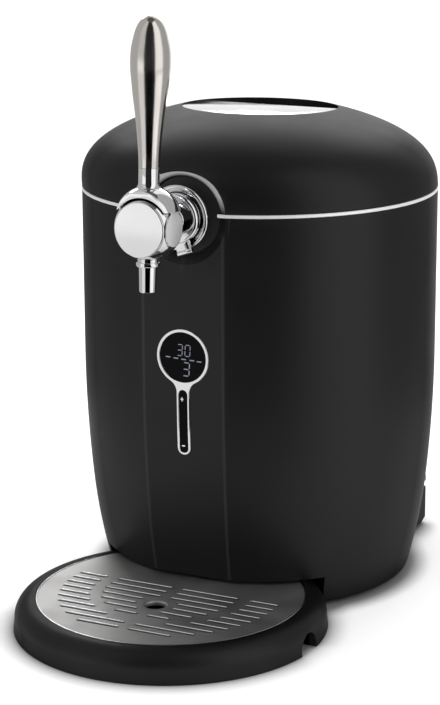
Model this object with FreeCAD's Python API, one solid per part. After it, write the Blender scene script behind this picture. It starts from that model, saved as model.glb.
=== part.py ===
import FreeCAD, Part
# Counter-top beer cooler for a five-litre party keg: a round barrel with a swing-up domed lid,
# a side-pull tap on the seam between them, a pull-out drip tray, and a louvred cover at the back
# over the thermoelectric cooler and its fan.
#
# The model is drawn about the barrel's own axis: x = y = 0 on the axis, z = 0 on the table, the tap
# towards -Y and +X to the right of someone facing the tap.  save() moves every piece along Y, so
# that the finished part has its origin in the middle of its footprint.
import math
import os
from FreeCAD import Vector

# ------------------------------------------------------------ driving dimensions (mm, degrees)
# Barrel
WELL_R = 88.0              # takes a five-litre keg, 172 across
BARREL_MARGIN = 47.0       # from the well to the barrel's side: wall, foam, taper and shell
BARREL_R = WELL_R + BARREL_MARGIN
SEAM_Z = 299.2             # top edge of the barrel
TAPER_Z = 175.0            # the side starts to draw in here
WAIST_Z = 70.0             # the taper tightens here
FOOT_Z = 6.0               # the taper ends and the foot rounds off
BASE_Z = 3.0               # underside of the barrel above the table
TAPER_RADIUS = 1000.0      # side radius of the upper taper
WAIST_RADIUS = 400.0       # side radius of the lower taper
WALL = 3.0                 # barrel and lid wall
FACET_DEPTH = 3.85         # how far the flat front strip is cut in
FRONT_Y = FACET_DEPTH - BARREL_R  # face of the flat strip at the seam
FRONT_CUT = (FRONT_Y - 5, FRONT_Y + 15)  # reach of the tools that cut through the front
FIT = 0.3                  # gap between neighbouring still pieces
RUN = 0.06                 # radial running clearance of a pin or shaft
SLIP = 1.5                 # gap round a piece that is drawn out by hand

# Seam trim
TRIM_H = 2.4
TRIM_T = 2.6
TRIM_PROUD = 0.3

# Lid
DOME_H = 67.0              # height of the dome above the trim
DOME_SIDE_POWER = 1.45     # super-ellipse exponents of the dome
DOME_TOP_POWER = 2.6
DOME_LEAN = 9.0            # how far the crown sits in front of the rim
DOME_SECTIONS = 14
CROWN_FLAT_R = 1.5
LID_GAP = 0.3
DISH_R = 59.0              # round grip dish in the crown
DISH_RISE = 38.8
DISH_FLOOR_Z = SEAM_Z + DISH_RISE
DISH_WALL = 2.5
GRIP_CHORD_Y = 19.0        # straight back edge of the grip plate
GRIP_PLATE_LIFT = 17.0     # from the dish's floor to the top of the plate's back edge
GRIP_PLATE_Z = DISH_FLOOR_Z + GRIP_PLATE_LIFT
GRIP_WALL_T = 14.0         # depth of the plate's front wall
GRIP_PLATE_RISE = 2.0      # how much higher the plate is at its front
GRIP_PLATE_T = 2.2
GRIP_NOTCH_W = 32.0
GRIP_NOTCH_D = 2.2
GRIP_NOTCH_H = 2.0         # how far the notch reaches down the plate's front wall
LINER_INSET = 15.0         # from the barrel's side to the liner's wall
LINER_R = BARREL_R - LINER_INSET
LINER_H = 30.0
LINER_T = 2.0
LINER_DRAFT = 10.0         # how far the liner's wall leans in
LINER_CHAMFER = 7.0
FOAM_GAP = 1.0
SEAL_W = 3.0
LID_SCREW_INSET = 10.5     # from the barrel's side to the circle of the lid's screws
LID_SCREW_R = BARREL_R - LID_SCREW_INSET
LID_SCREW_ANGLES = (34.0, -22.0)
LID_POST_R = 4.0
LID_SCREW_L = 9.0

# Keg well and what is round it
WELL_Y = -10.0             # the well sits a little forward of the barrel's axis
WELL_WALL = 1.0
WELL_FLOOR_Z = 34.0
WELL_DROP = 13.2
WELL_TOP_Z = SEAM_Z - WELL_DROP
WELL_LIP = 4.0
JACKET_GAP = 1.8           # between the foam jacket and the front wall
DECK_T = 3.0

# Tap recess, socket and tap
TAP_DROP = 1.2
TAP_Z = SEAM_Z - TAP_DROP    # axis of the flange and the stem
RECESS_R = 28.0
RECESS_BEVEL_R = 34.8
RECESS_BEVEL_DEPTH = 4.6
RECESS_BOSS_R = 38.0
RECESS_DEPTH = 9.5
RECESS_BAY = 30.0          # depth of the bay behind the recess that the lid's inner pieces leave free
SOCKET_T = 3.0
SOCKET_HUB_R = 12.0
SOCKET_HUB_L = 17.0
SOCKET_FOOT_D = 10.0
SOCKET_SEAT = 1.0          # gap behind the recess floor
FLANGE_R = 23.5
FLANGE_PROUD = 7.45        # how far the flange stands out from the flat strip
FLANGE_FRONT_Y = FRONT_Y - FLANGE_PROUD
FLANGE_RIM_T = 3.0
FLANGE_DISH = 4.4          # depth of the dish in the flange's face
FLANGE_DISH_R = 17.0
FLANGE_LIP_R = 19.0        # radius and depth of the step round the dish
FLANGE_LIP_Y = 1.6
FLANGE_RIM_W = 2.6
FLANGE_CHAMFER = 0.9
FLANGE_HUB_R = 13.0
FLANGE_BACK_T = 4.0
STEM_R = 12.0
STEM_TAIL_R = 9.0
STEM_BORE_R = 3.5
STEM_TAIL_L = 36.6         # from the flange's face to the stem's inner end
STEM_END_Y = FLANGE_FRONT_Y + STEM_TAIL_L
STEM_SINK = 7.0            # how deep the stem stands in the ball
STEM_TIP_R = 6.0
STEM_TIP_L = 11.0
STEM_TIP_CHAMFER = (1.2, 3.0)
LOCK_RING_R = 18.2
LOCK_RING_W = 9.0
LOCK_FRONT_CHAMFER = 2.4
LOCK_BACK_CHAMFER = (2.0, 3.0)
LOCK_LUG_DROP = 24.5       # from the stem's axis to the lug's free edge
LOCK_LUG_W = 12.0
LOCK_LUG_REST = -19.0      # the lug hangs this far round from straight down, towards +X
LOCK_LUG_T = 3.6
LOCK_BEAD_R = 1.8
SEAL_RING_T = 1.6
SEAL_RING_L = 2.4
SEAL_RING_SET = (19.0, 14.0)  # from the stem's inner end to each seal
BALL_REACH = 42.4          # from the flange's face to the ball's centre
BALL_Y = FLANGE_FRONT_Y - BALL_REACH
BALL_LIFT = 1.0
BALL_Z = TAP_Z + BALL_LIFT
BALL_R = 23.2
BALL_FACE = 12.9           # from the ball's centre to its flat front
BALL_FLAT = 18.9           # from the ball's centre to each side flat
TAP_LEAN = 3.0             # the tap leans back by this angle
CAP_T = 1.5
CAP_R = 19.2
YOKE_GAP = 1.3             # clear space between the ball and the yoke
YOKE_DEPTH = 11.6          # half depth, front to back
BELL_RIM = (21.9, 12.5)    # radius and height of the yoke's rim about the ball's centre
BELL_SIDE = (16.6, 22.2)   # a place half-way up its side
NECK_R = 7.3
NECK_Z = 31.0              # the neck's foot and top above the ball's centre
NECK_TOP = 41.0
NECK_FLARE = 5.0           # radius that the neck flows into the yoke with
NECK_FLARE_TURN = 48.0
GRIP_R = 13.8
GRIP_WIDE = 114.0          # height of the grip's widest place above the ball's centre
GRIP_TOP = 144.6
GRIP_TIP_R = 8.5
GRIP_WAIST_SHARE = 0.605   # where the waist's hollow curve turns into the swelling one
PIVOT_R = 2.5
EAR_T = 2.2
EAR_R = 12.4
EAR_GAP = 0.2              # between an ear and the ball's side
EAR_SKIN = 0.8             # metal left outside the pivot's end
EAR_LINK_Y = 5.0
SPOUT_R = 6.3
SPOUT_TIP_R = 5.8
SPOUT_BORE_R = 4.3
SPOUT_END = 45.0
SPOUT_COLLAR_R = 8.2
SPOUT_COLLAR_H = 3.2
VALVE_R = 7.0
VALVE_L = 20.0
VALVE_TRAVEL = 3.0
VALVE_WALL = 3.0           # metal left in front of the valve's bore
STUD_R = 4.0
STUD_L = 30.0
STUD_ROOM = 5.0            # the stud's socket is deeper than half its length by this
STUD_FREE = 1.0

# Display and touch strip
DISPLAY_Z = 195.1
BEZEL_R = 20.8
BEZEL_W = 2.3
BEZEL_PROUD = 0.7
PILL_HALF_W = 5.2
PILL_END_Z = 121.6
PILL_FLARE = 9.0
LENS_T = 1.6
LENS_LEDGE = 1.0           # the bezel's inner ledge that the glass lies on
BEZEL_LEDGE = 0.8          # the wall's ledge that the bezel lies on
BEZEL_DEPTH = 2.0
TOUCH_WALL = 1.8           # width of the bezel's metal beside the touch strip's glass
TOUCH_TOP = 24.4           # from the display's centre down to the glass's upper end

# Drip tray
TRAY_AHEAD = 18.5          # from the barrel's front to the tray's centre
TRAY_Y = -BARREL_R - TRAY_AHEAD
TRAY_INSET = 20.5          # the tray is narrower than the barrel by this on each side
TRAY_R = BARREL_R - TRAY_INSET
TRAY_TOP_Z = 23.2
TRAY_UNDER = 75.0          # how far the tray reaches in under the barrel
TRAY_REAR_Y = TRAY_UNDER - BARREL_R
TRAY_WALL = 3.0
TRAY_SHOULDER = 13.0
TRAY_SHOULDER_R = TRAY_R - TRAY_SHOULDER
SKIRT_MID = (3.6, 5.4)     # a place on the rounded shoulder: in from the side, down from the top
SKIRT_LOW = (0.8, 8.5)     # foot of the shoulder: in from the side, up from the table
TRAY_SIDE_T = 6.0
TRAY_RIM_W = 8.0           # the rim under the basin that the tray stands on
TRAY_RELIEF = 1.5
TRAY_FLOOR_Z = 3.5
TRAY_SKIRT_HOLLOW = 14.5   # height of the hollow under the skirt
GRID_INSET = 16.5
GRID_R = TRAY_R - GRID_INSET
GRID_T = 1.5
GRID_DROP = 0.6            # how far the grid lies below the tray's rim
GRID_LEDGE = 4.5
SLOT_W = 2.4
SLOT_PITCH = 9.25
SLOT_FIRST = 10.0          # from the tray's centre back to the first row of slots
SLOT_BORDER = 16.0
SLOT_FIELD_R = GRID_R - SLOT_BORDER
SLOT_BARE = (31.5, 22.5)    # a ring with no slots, in from the edge of the slotted field
SLOT_LEAST = 3 * SLOT_W     # no slot is shorter than this
SLOT_RIB = 4.0
DRAIN_AHEAD = 24.0
DRAIN_Y = TRAY_Y - DRAIN_AHEAD
DRAIN_R = 8.2
DRAIN_LAND = 7.0
GRIP_ARCH_AHEAD = 7.5
GRIP_ARCH_Y = TRAY_Y - GRIP_ARCH_AHEAD
GRIP_ARCH_R = 11.0
GRIP_ARCH_TOP = 14.0

# Rear cover and the cooler
REAR_PROUD = 3.0
REAR_Y = BARREL_R + REAR_PROUD
REAR_HALF_W = 89.5
REAR_DROP = 9.2
REAR_TOP_Z = SEAM_Z - REAR_DROP
REAR_WALL = 2.5
REAR_CORNER = 6.0
REAR_FOOT = 8.0            # height of the slope under the cover, and its run in heights
REAR_FOOT_RUN = 3.2
VENT_Z = (34.2, 44.3, 54.2)
VENT_H = 6.0
VENT_W = 26.0
VENT_D = 30.0
LOUVRE_H = 4.2
LOUVRE_PITCH = 8.5
LOUVRE_MARGIN = 6.0        # how far the louvres reach past the fan's bore
UPPER_LOUVRE_Z = 236.0
UPPER_LOUVRE_HALF = 56.0
UPPER_LOUVRES = 3
COOLER_Z = 155.0
COLD_BLOCK = 50.0
COLD_BLOCK_T = 10.0
PELTIER = 40.0
PELTIER_T = 3.8
SINK_W = 80.0
SINK_BASE_T = 5.0
FIN_T = 1.4
FIN_PITCH = 5.5
FIN_COUNT = 15
FAN_W = 80.0
FAN_T = 15.0
FAN_BORE_R = 38.0
FAN_HUB_R = 15.0
FAN_BLADES = 7
FAN_SCREW = 35.75
FAN_CORNER = 4.0
FAN_SPOKE_W = 3.2
FAN_REST = 1.0             # axial gap at each end of the hub
FAN_TIP_GAP = 1.0
BLADE_T = 1.2
BLADE_ROOT = (9.0, 7.0)    # how far a blade's root and tip reach to each side
BLADE_TIP = 12.0
BLADE_SINK = 2.0
SCREW_R = 1.9
SCREW_HEAD_R = 3.6
SCREW_HEAD_H = 2.2
SCREW_RECESS = 0.42        # share of the head's radius and height that the recess takes
HEAD_SINK = 3.0            # depth of the pocket for a screw's head
REAR_SCREW_L = 12.0
REAR_SCREW_ROOM = 5.0      # free depth past the screw's tip
REAR_SCREW_BORE = HEAD_SINK + REAR_SCREW_L + REAR_SCREW_ROOM
FAN_SCREW_REACH = 8.0      # how far the fan's screws stand into the fins
REAR_WINDOW_HALF = 62.0
REAR_WINDOW_RISE = 77.0
REAR_SCREW_X = 34.0
REAR_SCREW_INSET = 22.0
REAR_SCREWS = [(REAR_SCREW_X, REAR_SCREW_INSET), (REAR_SCREW_X, REAR_TOP_Z - REAR_SCREW_INSET)]
REAR_BOSS_R = 5.0
REAR_BOSS_T = 5.5
FAN_AXLE_R = 1.5
STATOR_T = 3.0
GREASE = 0.1               # thermal paste between the cold block and the well
PROBE_R = 3.0
PROBE_L = 34.0
PROBE_Z = 96.0
INLET_X = -66.0
INLET_Z = 88.0
INLET_W = 24.0
INLET_H = 14.0
INLET_RIM = 2.0
INLET_SINK = 1.2
INLET_DEPTH = 15.0
INLET_SOCKET = 12.0
INLET_WALL = 2.0
INLET_PIN_R = 1.2
INLET_PIN_X = 4.3
INLET_PIN_L = 9.0

# Base
PLATE_T = 3.0
POCKET_TOP_Z = 25.2
POCKET_T = 2.4
FOOT_R = 8.0
FLOOR_GAP = 1.0            # between the floor plate and the barrel's wall
FOOT_CHAMFER = 1.2
FOOT_INSET = 37.0          # from the barrel's side to the circle of the rubber feet
FOOT_ANGLES = (-21.0, 55.0)
BASE_SCREW_INSET = 32.0    # from the barrel's side to the circle of the floor's screws
BASE_SCREW_R = BARREL_R - BASE_SCREW_INSET
BASE_SCREW_ANGLES = (10.0, 48.0)
BASE_BOSS_R = 5.0
BASE_BOSS_TOP = 18.0
RIB_X = (60.0, 64.0)
RIB_Y = (-50.0, 60.0)

# Boards
BOARD_T = 1.6
POWER_BOARD_W = 96.0
POWER_BOARD_D = 62.0
BOARD_POST_R = 3.0
BOARD_POST_H = 4.0
BOARD_POST_INSET = 5.0
POWER_BLOCKS = [(-40.0, 8.0, 28.0, 26.0, 14.4), (34.0, 6.0, 8.0, 44.0, 11.4), (-38.0, 44.0, 24.0, 12.0, 9.4)]
POWER_CANS = [(6.0, 20.0, 7.0, 13.0), (24.0, 20.0, 5.0, 12.0)]
CONTROL_W = 34.0
CONTROL_REACH = (4.0, 18.0)  # below the touch strip and above the display's centre
CONTROL_GAP = 3.4
PANEL_HALF_W = 13.0
PANEL_HALF_H = 9.0
CHIP = 10.0
CHIP_Z = 155.0
PLUG_W = 16.0
PLUG_H = 8.0
PLUG_D = 5.0
PLUG_Z = 130.0

# Hinge
HINGE_INSET = 4.5
HINGE_Y = BARREL_R - HINGE_INSET
HINGE_RISE = 4.8
HINGE_Z = SEAM_Z + HINGE_RISE
KNUCKLE_R = 5.4
ARM_X = (16.0, 26.0)
ARM_RISE = 18.0
ARM_SEAT = 0.1             # glue line between the arm and the lid's wall
EAR_X = (10.0, 34.0)
ARM_D = 9.0                # from the hinge's axis to the arm's front face
BRACKET_TOE = 8.0          # how far the bracket's foot reaches past its ears
BRACKET_D = (18.0, 6.0)    # in front of and behind the hinge's axis
PIN_HEAD = 1.2
HINGE_PIN_R = 2.5
HINGE_NOTCH_X = 38.0
HINGE_NOTCH_D = 10.0
HINGE_NOTCH_H = 6.4        # depth of the notch in the barrel's top edge


# ------------------------------------------------------------ small helpers
def cylinder(radius, length, at, along):
    return Part.makeCylinder(radius, length, at, along)


def block(x0, x1, y0, y1, z0, z1):
    return Part.makeBox(x1 - x0, y1 - y0, z1 - z0, Vector(x0, y0, z0))


def ring(outer, inner, length, at, along):
    return cylinder(outer, length, at, along).cut(cylinder(inner, length, at, along))


def union(shapes):
    return shapes[0].multiFuse(shapes[1:]).removeSplitter() if len(shapes) > 1 else shapes[0]


def mirrored(shape):
    """The shape and its mirror image across the plane x = 0."""
    return [shape, shape.mirror(Vector(0, 0, 0), Vector(1, 0, 0))]


def turned(edges, at, along):
    """Revolve a closed outline."""
    return Part.Face(Part.Wire(edges)).revolve(at, along, 360)


def polyline(points):
    return [Part.LineSegment(a, b).toShape() for a, b in zip(points, points[1:])]


def lathe_z(points, x=0.0, y=0.0):
    """Solid of revolution about a vertical axis from (radius, z) points."""
    path = [Vector(x + r, y, z) for r, z in points]
    return turned(polyline(path + path[:1]), Vector(x, y, 0), Vector(0, 0, 1))


def lathe_y(points, z):
    """Solid of revolution about an axis along Y from (radius, y) points."""
    path = [Vector(r, y, z) for r, y in points]
    return turned(polyline(path + path[:1]), Vector(0, 0, z), Vector(0, 1, 0))


def screw(at, along, length):
    """A pan-head screw whose head rests on at and whose shank runs along."""
    head = cylinder(SCREW_HEAD_R, SCREW_HEAD_H, at - along * SCREW_HEAD_H, along)
    shank = cylinder(SCREW_R, length, at, along)
    top = at - along * SCREW_HEAD_H
    recess = cylinder(SCREW_RECESS * SCREW_HEAD_R, SCREW_RECESS * SCREW_HEAD_H, top, along)
    return head.cut(recess).fuse(shank)


def on_circle(radius, angles):
    """Points on a circle about the barrel's axis, each with its mirror image."""
    points = []
    for angle in angles:
        x = radius * math.cos(math.radians(angle))
        y = radius * math.sin(math.radians(angle))
        points += [(x, y), (-x, y)]
    return points


def save(name, *solids):
    shape = solids[0] if len(solids) == 1 else Part.makeCompound(list(solids))
    shift = -0.5 * (TRAY_Y - TRAY_R + REAR_Y)
    shape = shape.translated(Vector(0, shift, 0))
    shape.exportStep(f"parts/{name}.step")


# ------------------------------------------------------------ the barrel's form
def side_profile(inset, bottom_z, foot):
    """Edges of the barrel's side from the seam down to bottom_z, moved inwards by inset."""
    radius = BARREL_R - inset
    turn1 = math.asin((TAPER_Z - WAIST_Z) / TAPER_RADIUS)
    centre1 = Vector(BARREL_R - TAPER_RADIUS, 0, TAPER_Z)
    centre2 = centre1 + Vector(math.cos(turn1), 0, -math.sin(turn1)) * (TAPER_RADIUS - WAIST_RADIUS)
    turn2 = math.asin((centre2.z - FOOT_Z) / WAIST_RADIUS)
    round_r = (FOOT_Z - BASE_Z) / (1 - math.sin(turn2))
    centre3 = centre2 + Vector(math.cos(turn2), 0, -math.sin(turn2)) * (WAIST_RADIUS - round_r)

    def on(centre, r, angle):
        return centre + Vector(math.cos(angle), 0, -math.sin(angle)) * r

    r1 = TAPER_RADIUS - inset
    r2 = WAIST_RADIUS - inset
    p1 = on(centre1, r1, 0)
    p2 = on(centre1, r1, turn1)
    p3 = on(centre2, r2, turn2)
    edges = [
        Part.LineSegment(Vector(radius, 0, SEAM_Z), p1).toShape(),
        Part.Arc(p1, on(centre1, r1, 0.5 * turn1), p2).toShape(),
        Part.Arc(p2, on(centre2, r2, 0.5 * (turn1 + turn2)), p3).toShape(),
    ]
    if foot:
        p4 = on(centre3, round_r, 0.5 * math.pi)
        middle = on(centre3, round_r, 0.5 * (turn2 + 0.5 * math.pi))
        edges.append(Part.Arc(p3, middle, p4).toShape())
        return edges, p4
    p4 = Vector(p3.x, 0, bottom_z)
    edges.append(Part.LineSegment(p3, p4).toShape())
    return edges, p4


def barrel_radius(z, inset=0.0):
    """Outer radius of the barrel at height z."""
    turn1 = math.asin((TAPER_Z - WAIST_Z) / TAPER_RADIUS)
    if z >= TAPER_Z:
        return BARREL_R - inset
    if z >= WAIST_Z:
        lean = math.asin((TAPER_Z - z) / TAPER_RADIUS)
        return BARREL_R - inset - TAPER_RADIUS * (1 - math.cos(lean))
    base = Vector(BARREL_R - TAPER_RADIUS, 0, TAPER_Z)
    centre2 = base + Vector(math.cos(turn1), 0, -math.sin(turn1)) * (TAPER_RADIUS - WAIST_RADIUS)
    lean = math.asin((centre2.z - z) / WAIST_RADIUS)
    return centre2.x + WAIST_RADIUS * math.cos(lean) - inset


def facet_limit(inset):
    """Everything behind the flat front strip, moved inwards by inset."""
    edges, low = side_profile(inset + FACET_DEPTH, -5.0, False)
    high = Vector(BARREL_R - FACET_DEPTH - inset, 0, SEAM_Z)
    far = -2 * BARREL_R
    top_z = SEAM_Z + 2 * DOME_H
    rest = polyline([low, Vector(far, 0, low.z), Vector(far, 0, top_z), Vector(high.x, 0, top_z), high])
    face = Part.Face(Part.Wire(edges + rest))
    solid = face.extrude(Vector(0, 4 * BARREL_R, 0)).translated(Vector(0, -2 * BARREL_R, 0))
    return solid.rotate(Vector(0, 0, 0), Vector(0, 0, 1), -90)


def barrel_solid(inset, foot=False, bottom_z=-1.0):
    edges, low = side_profile(inset, bottom_z, foot)
    rest = polyline([low, Vector(0, 0, low.z), Vector(0, 0, SEAM_Z), Vector(BARREL_R - inset, 0, SEAM_Z)])
    body = Part.Face(Part.Wire(edges + rest)).revolve(Vector(0, 0, 0), Vector(0, 0, 1), 360)
    return body.common(facet_limit(inset))


def facet_y(z, inset=0.0):
    return -(barrel_radius(z, inset) - FACET_DEPTH)


# ------------------------------------------------------------ the lid's form
LID_Z = SEAM_Z + TRIM_H + LID_GAP


def dome_radius(share, radius):
    """Radius of the dome at a share of its height."""
    return radius * (1 - share ** DOME_TOP_POWER) ** (1 / DOME_SIDE_POWER)


def dome_solid(radius, height, base_z, count=DOME_SECTIONS, ruled=False):
    """Super-elliptic dome, lofted through level circles that step towards the tap."""
    sections = []
    for i in range(count):
        share = math.sin(0.5 * math.pi * i / count) ** (2 / DOME_TOP_POWER)
        centre = Vector(0, -DOME_LEAN * share * height / DOME_H, base_z + share * height)
        circle = Part.Circle(centre, Vector(0, 0, 1), dome_radius(share, radius))
        sections.append(Part.Wire(circle.toShape()))
    crown = Vector(0, -DOME_LEAN * height / DOME_H, base_z + height)
    sections.append(Part.Wire(Part.Circle(crown, Vector(0, 0, 1), CROWN_FLAT_R).toShape()))
    return Part.makeLoft(sections, True, ruled)


def tap_tool(radius, y_far):
    """A cylinder on the tap's axis from in front of the barrel back to y_far."""
    start = -2 * BARREL_R
    return cylinder(radius, y_far - start, Vector(0, start, TAP_Z), Vector(0, 1, 0))


def recess_tools():
    """The bevelled round recess that the tap's flange sits in."""
    face = FRONT_Y
    bevel = Part.makeCone(
        RECESS_BEVEL_R + 1.5 * (RECESS_BEVEL_R - RECESS_R) / RECESS_BEVEL_DEPTH,
        RECESS_R,
        RECESS_BEVEL_DEPTH + 1.5,
        Vector(0, face - 1.5, TAP_Z),
        Vector(0, 1, 0),
    )
    return tap_tool(RECESS_R, face + RECESS_DEPTH + 1).fuse(bevel)


def recess_boss():
    """The thickening of the wall round the recess."""
    face = FRONT_Y
    return cylinder(RECESS_BOSS_R, RECESS_DEPTH, Vector(0, face, TAP_Z), Vector(0, 1, 0))


def hinge_notch(z0, z1):
    return block(-HINGE_NOTCH_X, HINGE_NOTCH_X, HINGE_Y - HINGE_NOTCH_D, 2 * BARREL_R, z0, z1)


# ------------------------------------------------------------ display outline
def keyhole(inset):
    """The display's round head flowing into the pill-shaped touch strip, as a tool through the front."""
    y0, y1 = FRONT_CUT
    big = BEZEL_R - inset
    half = PILL_HALF_W - inset
    flare = PILL_FLARE + inset
    low_z = PILL_END_Z + PILL_HALF_W
    flare_z = DISPLAY_Z - math.sqrt((big + flare) ** 2 - (half + flare) ** 2)
    share = big / (big + flare)
    on_head = Vector((half + flare) * share, y0, DISPLAY_Z + (flare_z - DISPLAY_Z) * share)
    flare_centre = Vector(half + flare, y0, flare_z)
    on_side = Vector(half, y0, flare_z)
    middle = flare_centre + ((on_head - flare_centre) + (on_side - flare_centre)).normalize() * flare

    def flip(v):
        return Vector(-v.x, v.y, v.z)

    top = Vector(0, y0, DISPLAY_Z + big)
    edges = [
        Part.Arc(flip(on_head), top, on_head).toShape(),
        Part.Arc(on_head, middle, on_side).toShape(),
        Part.LineSegment(on_side, Vector(half, y0, low_z)).toShape(),
        Part.Arc(Vector(half, y0, low_z), Vector(0, y0, low_z - half), Vector(-half, y0, low_z)).toShape(),
        Part.LineSegment(Vector(-half, y0, low_z), flip(on_side)).toShape(),
        Part.Arc(flip(on_side), flip(middle), flip(on_head)).toShape(),
    ]
    return Part.Face(Part.Wire(edges)).extrude(Vector(0, y1 - y0, 0))


def wall_slice(outer_inset, inner_inset):
    """The part of the barrel's wall between two depths."""
    return barrel_solid(outer_inset).cut(barrel_solid(inner_inset))


# ------------------------------------------------------------ tray outline
def tray_disc(radius, z0, z1, rear_y):
    disc = cylinder(radius, z1 - z0, Vector(0, TRAY_Y, z0), Vector(0, 0, 1))
    keep = block(-2 * radius, 2 * radius, TRAY_Y - 2 * radius, rear_y, z0, z1)
    return disc.common(keep)


def tray_pocket(grow, z0, z1):
    return tray_disc(TRAY_R + grow, z0, z1, TRAY_REAR_Y + grow)


# ------------------------------------------------------------ barrel, trim and base
def rear_bosses():
    """Screw posts that stand from the barrel to the inside of the rear cover."""
    posts = []
    for x, z in REAR_SCREWS:
        depth = 2 * WALL
        start = math.sqrt(barrel_radius(z, 0.0) ** 2 - x ** 2) - depth
        length = REAR_Y - REAR_BOSS_T - start
        post = cylinder(REAR_BOSS_R, length, Vector(x, start, z), Vector(0, 1, 0))
        posts += mirrored(post)
    return posts


def deck_ledge():
    """Inward ledge that the deck rests on."""
    top = WELL_TOP_Z - DECK_T
    slab = block(-BARREL_R, BARREL_R, -BARREL_R, BARREL_R, top - WALL, top)
    return barrel_solid(0.5 * WALL).cut(barrel_solid(2.5 * WALL)).common(slab)


def base_bosses():
    """Screw bosses that stand in from the foot of the wall over the floor plate."""
    low = BASE_Z + PLATE_T
    bosses = []
    for x, y in on_circle(BASE_SCREW_R, BASE_SCREW_ANGLES):
        boss = cylinder(BASE_BOSS_R, BASE_BOSS_TOP - low, Vector(x, y, low), Vector(0, 0, 1))
        web = block(0, 2 * BARREL_R, -WALL / 2, WALL / 2, low, BASE_BOSS_TOP)
        web = web.rotate(Vector(0, 0, 0), Vector(0, 0, 1), math.degrees(math.atan2(y, x)))
        web = web.common(barrel_solid(0.5 * WALL))
        web = web.cut(cylinder(BASE_SCREW_R, SEAM_Z, Vector(0, 0, 0), Vector(0, 0, 1)))
        hole = cylinder(SCREW_R, BASE_BOSS_TOP, Vector(x, y, 0), Vector(0, 0, 1))
        bosses.append(boss.fuse(web).cut(hole))
    return bosses


def body_shell():
    inner = barrel_solid(WALL)
    shell = barrel_solid(0.0, foot=True)
    posts = union(rear_bosses())
    shell = shell.cut(inner)
    boss = recess_boss().common(barrel_solid(0.0))
    shell = shell.fuse(boss).fuse(posts).fuse(deck_ledge())
    for boss in base_bosses():
        shell = shell.fuse(boss)
    shell = shell.cut(recess_tools())
    shell = shell.cut(tray_pocket(SLIP, -5.0, POCKET_TOP_Z))
    shell = shell.cut(hinge_notch(SEAM_Z - HINGE_NOTCH_H, SEAM_Z + 1))
    shell = shell.cut(keyhole(BEZEL_LEDGE))
    rebate = keyhole(-FIT / 2).common(wall_slice(-BEZEL_PROUD, BEZEL_DEPTH))
    shell = shell.cut(rebate)
    half = REAR_WINDOW_HALF
    low = COOLER_Z - REAR_WINDOW_RISE
    shell = shell.cut(block(-half, half, 0.5 * BARREL_R, 2 * BARREL_R, low, low + 2 * REAR_WINDOW_RISE))
    for x, z in REAR_SCREWS:
        start = Vector(x, REAR_Y - REAR_SCREW_BORE, z)
        for hole in mirrored(cylinder(SCREW_R, REAR_SCREW_BORE, start, Vector(0, 1, 0))):
            shell = shell.cut(hole)
    return shell.removeSplitter()


def seam_trim():
    radius = BARREL_R + TRIM_PROUD
    band = ring(radius, radius - TRIM_T, TRIM_H, Vector(0, 0, SEAM_Z), Vector(0, 0, 1))
    front = FRONT_Y - TRIM_PROUD
    top = SEAM_Z + TRIM_H
    flat = block(-BARREL_R, BARREL_R, front, front + TRIM_T, SEAM_Z, top)
    disc = cylinder(radius, TRIM_H, Vector(0, 0, SEAM_Z), Vector(0, 0, 1))
    ahead = block(-BARREL_R, BARREL_R, -2 * BARREL_R, front, SEAM_Z, top)
    band = band.cut(ahead).fuse(flat.common(disc))
    band = band.cut(tap_tool(RECESS_R + FIT, -0.5 * BARREL_R))
    return band.cut(hinge_notch(SEAM_Z - 1, SEAM_Z + TRIM_H + 1)).removeSplitter()


def base_plate():
    """Stepped floor: a disc at the back and a raised roof over the tray's pocket."""
    inside = barrel_solid(WALL + FLOOR_GAP)
    slab = block(-BARREL_R, BARREL_R, -BARREL_R, BARREL_R, BASE_Z, BASE_Z + PLATE_T)
    roof_top = POCKET_TOP_Z + POCKET_T
    hood = tray_pocket(SLIP + POCKET_T, BASE_Z, roof_top)
    ribs = mirrored(block(*RIB_X, *RIB_Y, BASE_Z, roof_top))
    plate = slab.multiFuse([hood] + ribs).common(inside)
    plate = plate.cut(tray_pocket(SLIP, -5.0, POCKET_TOP_Z))
    for x, y in on_circle(BASE_SCREW_R, BASE_SCREW_ANGLES):
        plate = plate.cut(cylinder(SCREW_R, BASE_BOSS_TOP, Vector(x, y, 0), Vector(0, 0, 1)))
    return plate.removeSplitter()


def rubber_feet():
    feet = []
    for x, y in on_circle(BARREL_R - FOOT_INSET, FOOT_ANGLES):
        foot = cylinder(FOOT_R, BASE_Z, Vector(x, y, 0), Vector(0, 0, 1))
        rim = [e for e in foot.Edges if abs(e.BoundBox.ZMax) < 0.01]
        feet.append(foot.makeChamfer(FOOT_CHAMFER, rim))
    return feet


def base_screws():
    places = on_circle(BASE_SCREW_R, BASE_SCREW_ANGLES)
    return [screw(Vector(x, y, BASE_Z), Vector(0, 0, 1), BASE_BOSS_TOP - BASE_Z - WALL) for x, y in places]


# ------------------------------------------------------------ keg well, deck and jacket
def keg_well():
    outer = WELL_R + WELL_WALL
    lip = outer + WELL_LIP
    points = [
        (0, WELL_FLOOR_Z - WELL_WALL),
        (outer, WELL_FLOOR_Z - WELL_WALL),
        (outer, WELL_TOP_Z),
        (lip, WELL_TOP_Z),
        (lip, WELL_TOP_Z + WELL_WALL),
        (WELL_R, WELL_TOP_Z + WELL_WALL),
        (WELL_R, WELL_FLOOR_Z),
        (0, WELL_FLOOR_Z),
    ]
    return lathe_z(points, 0.0, WELL_Y)


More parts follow.
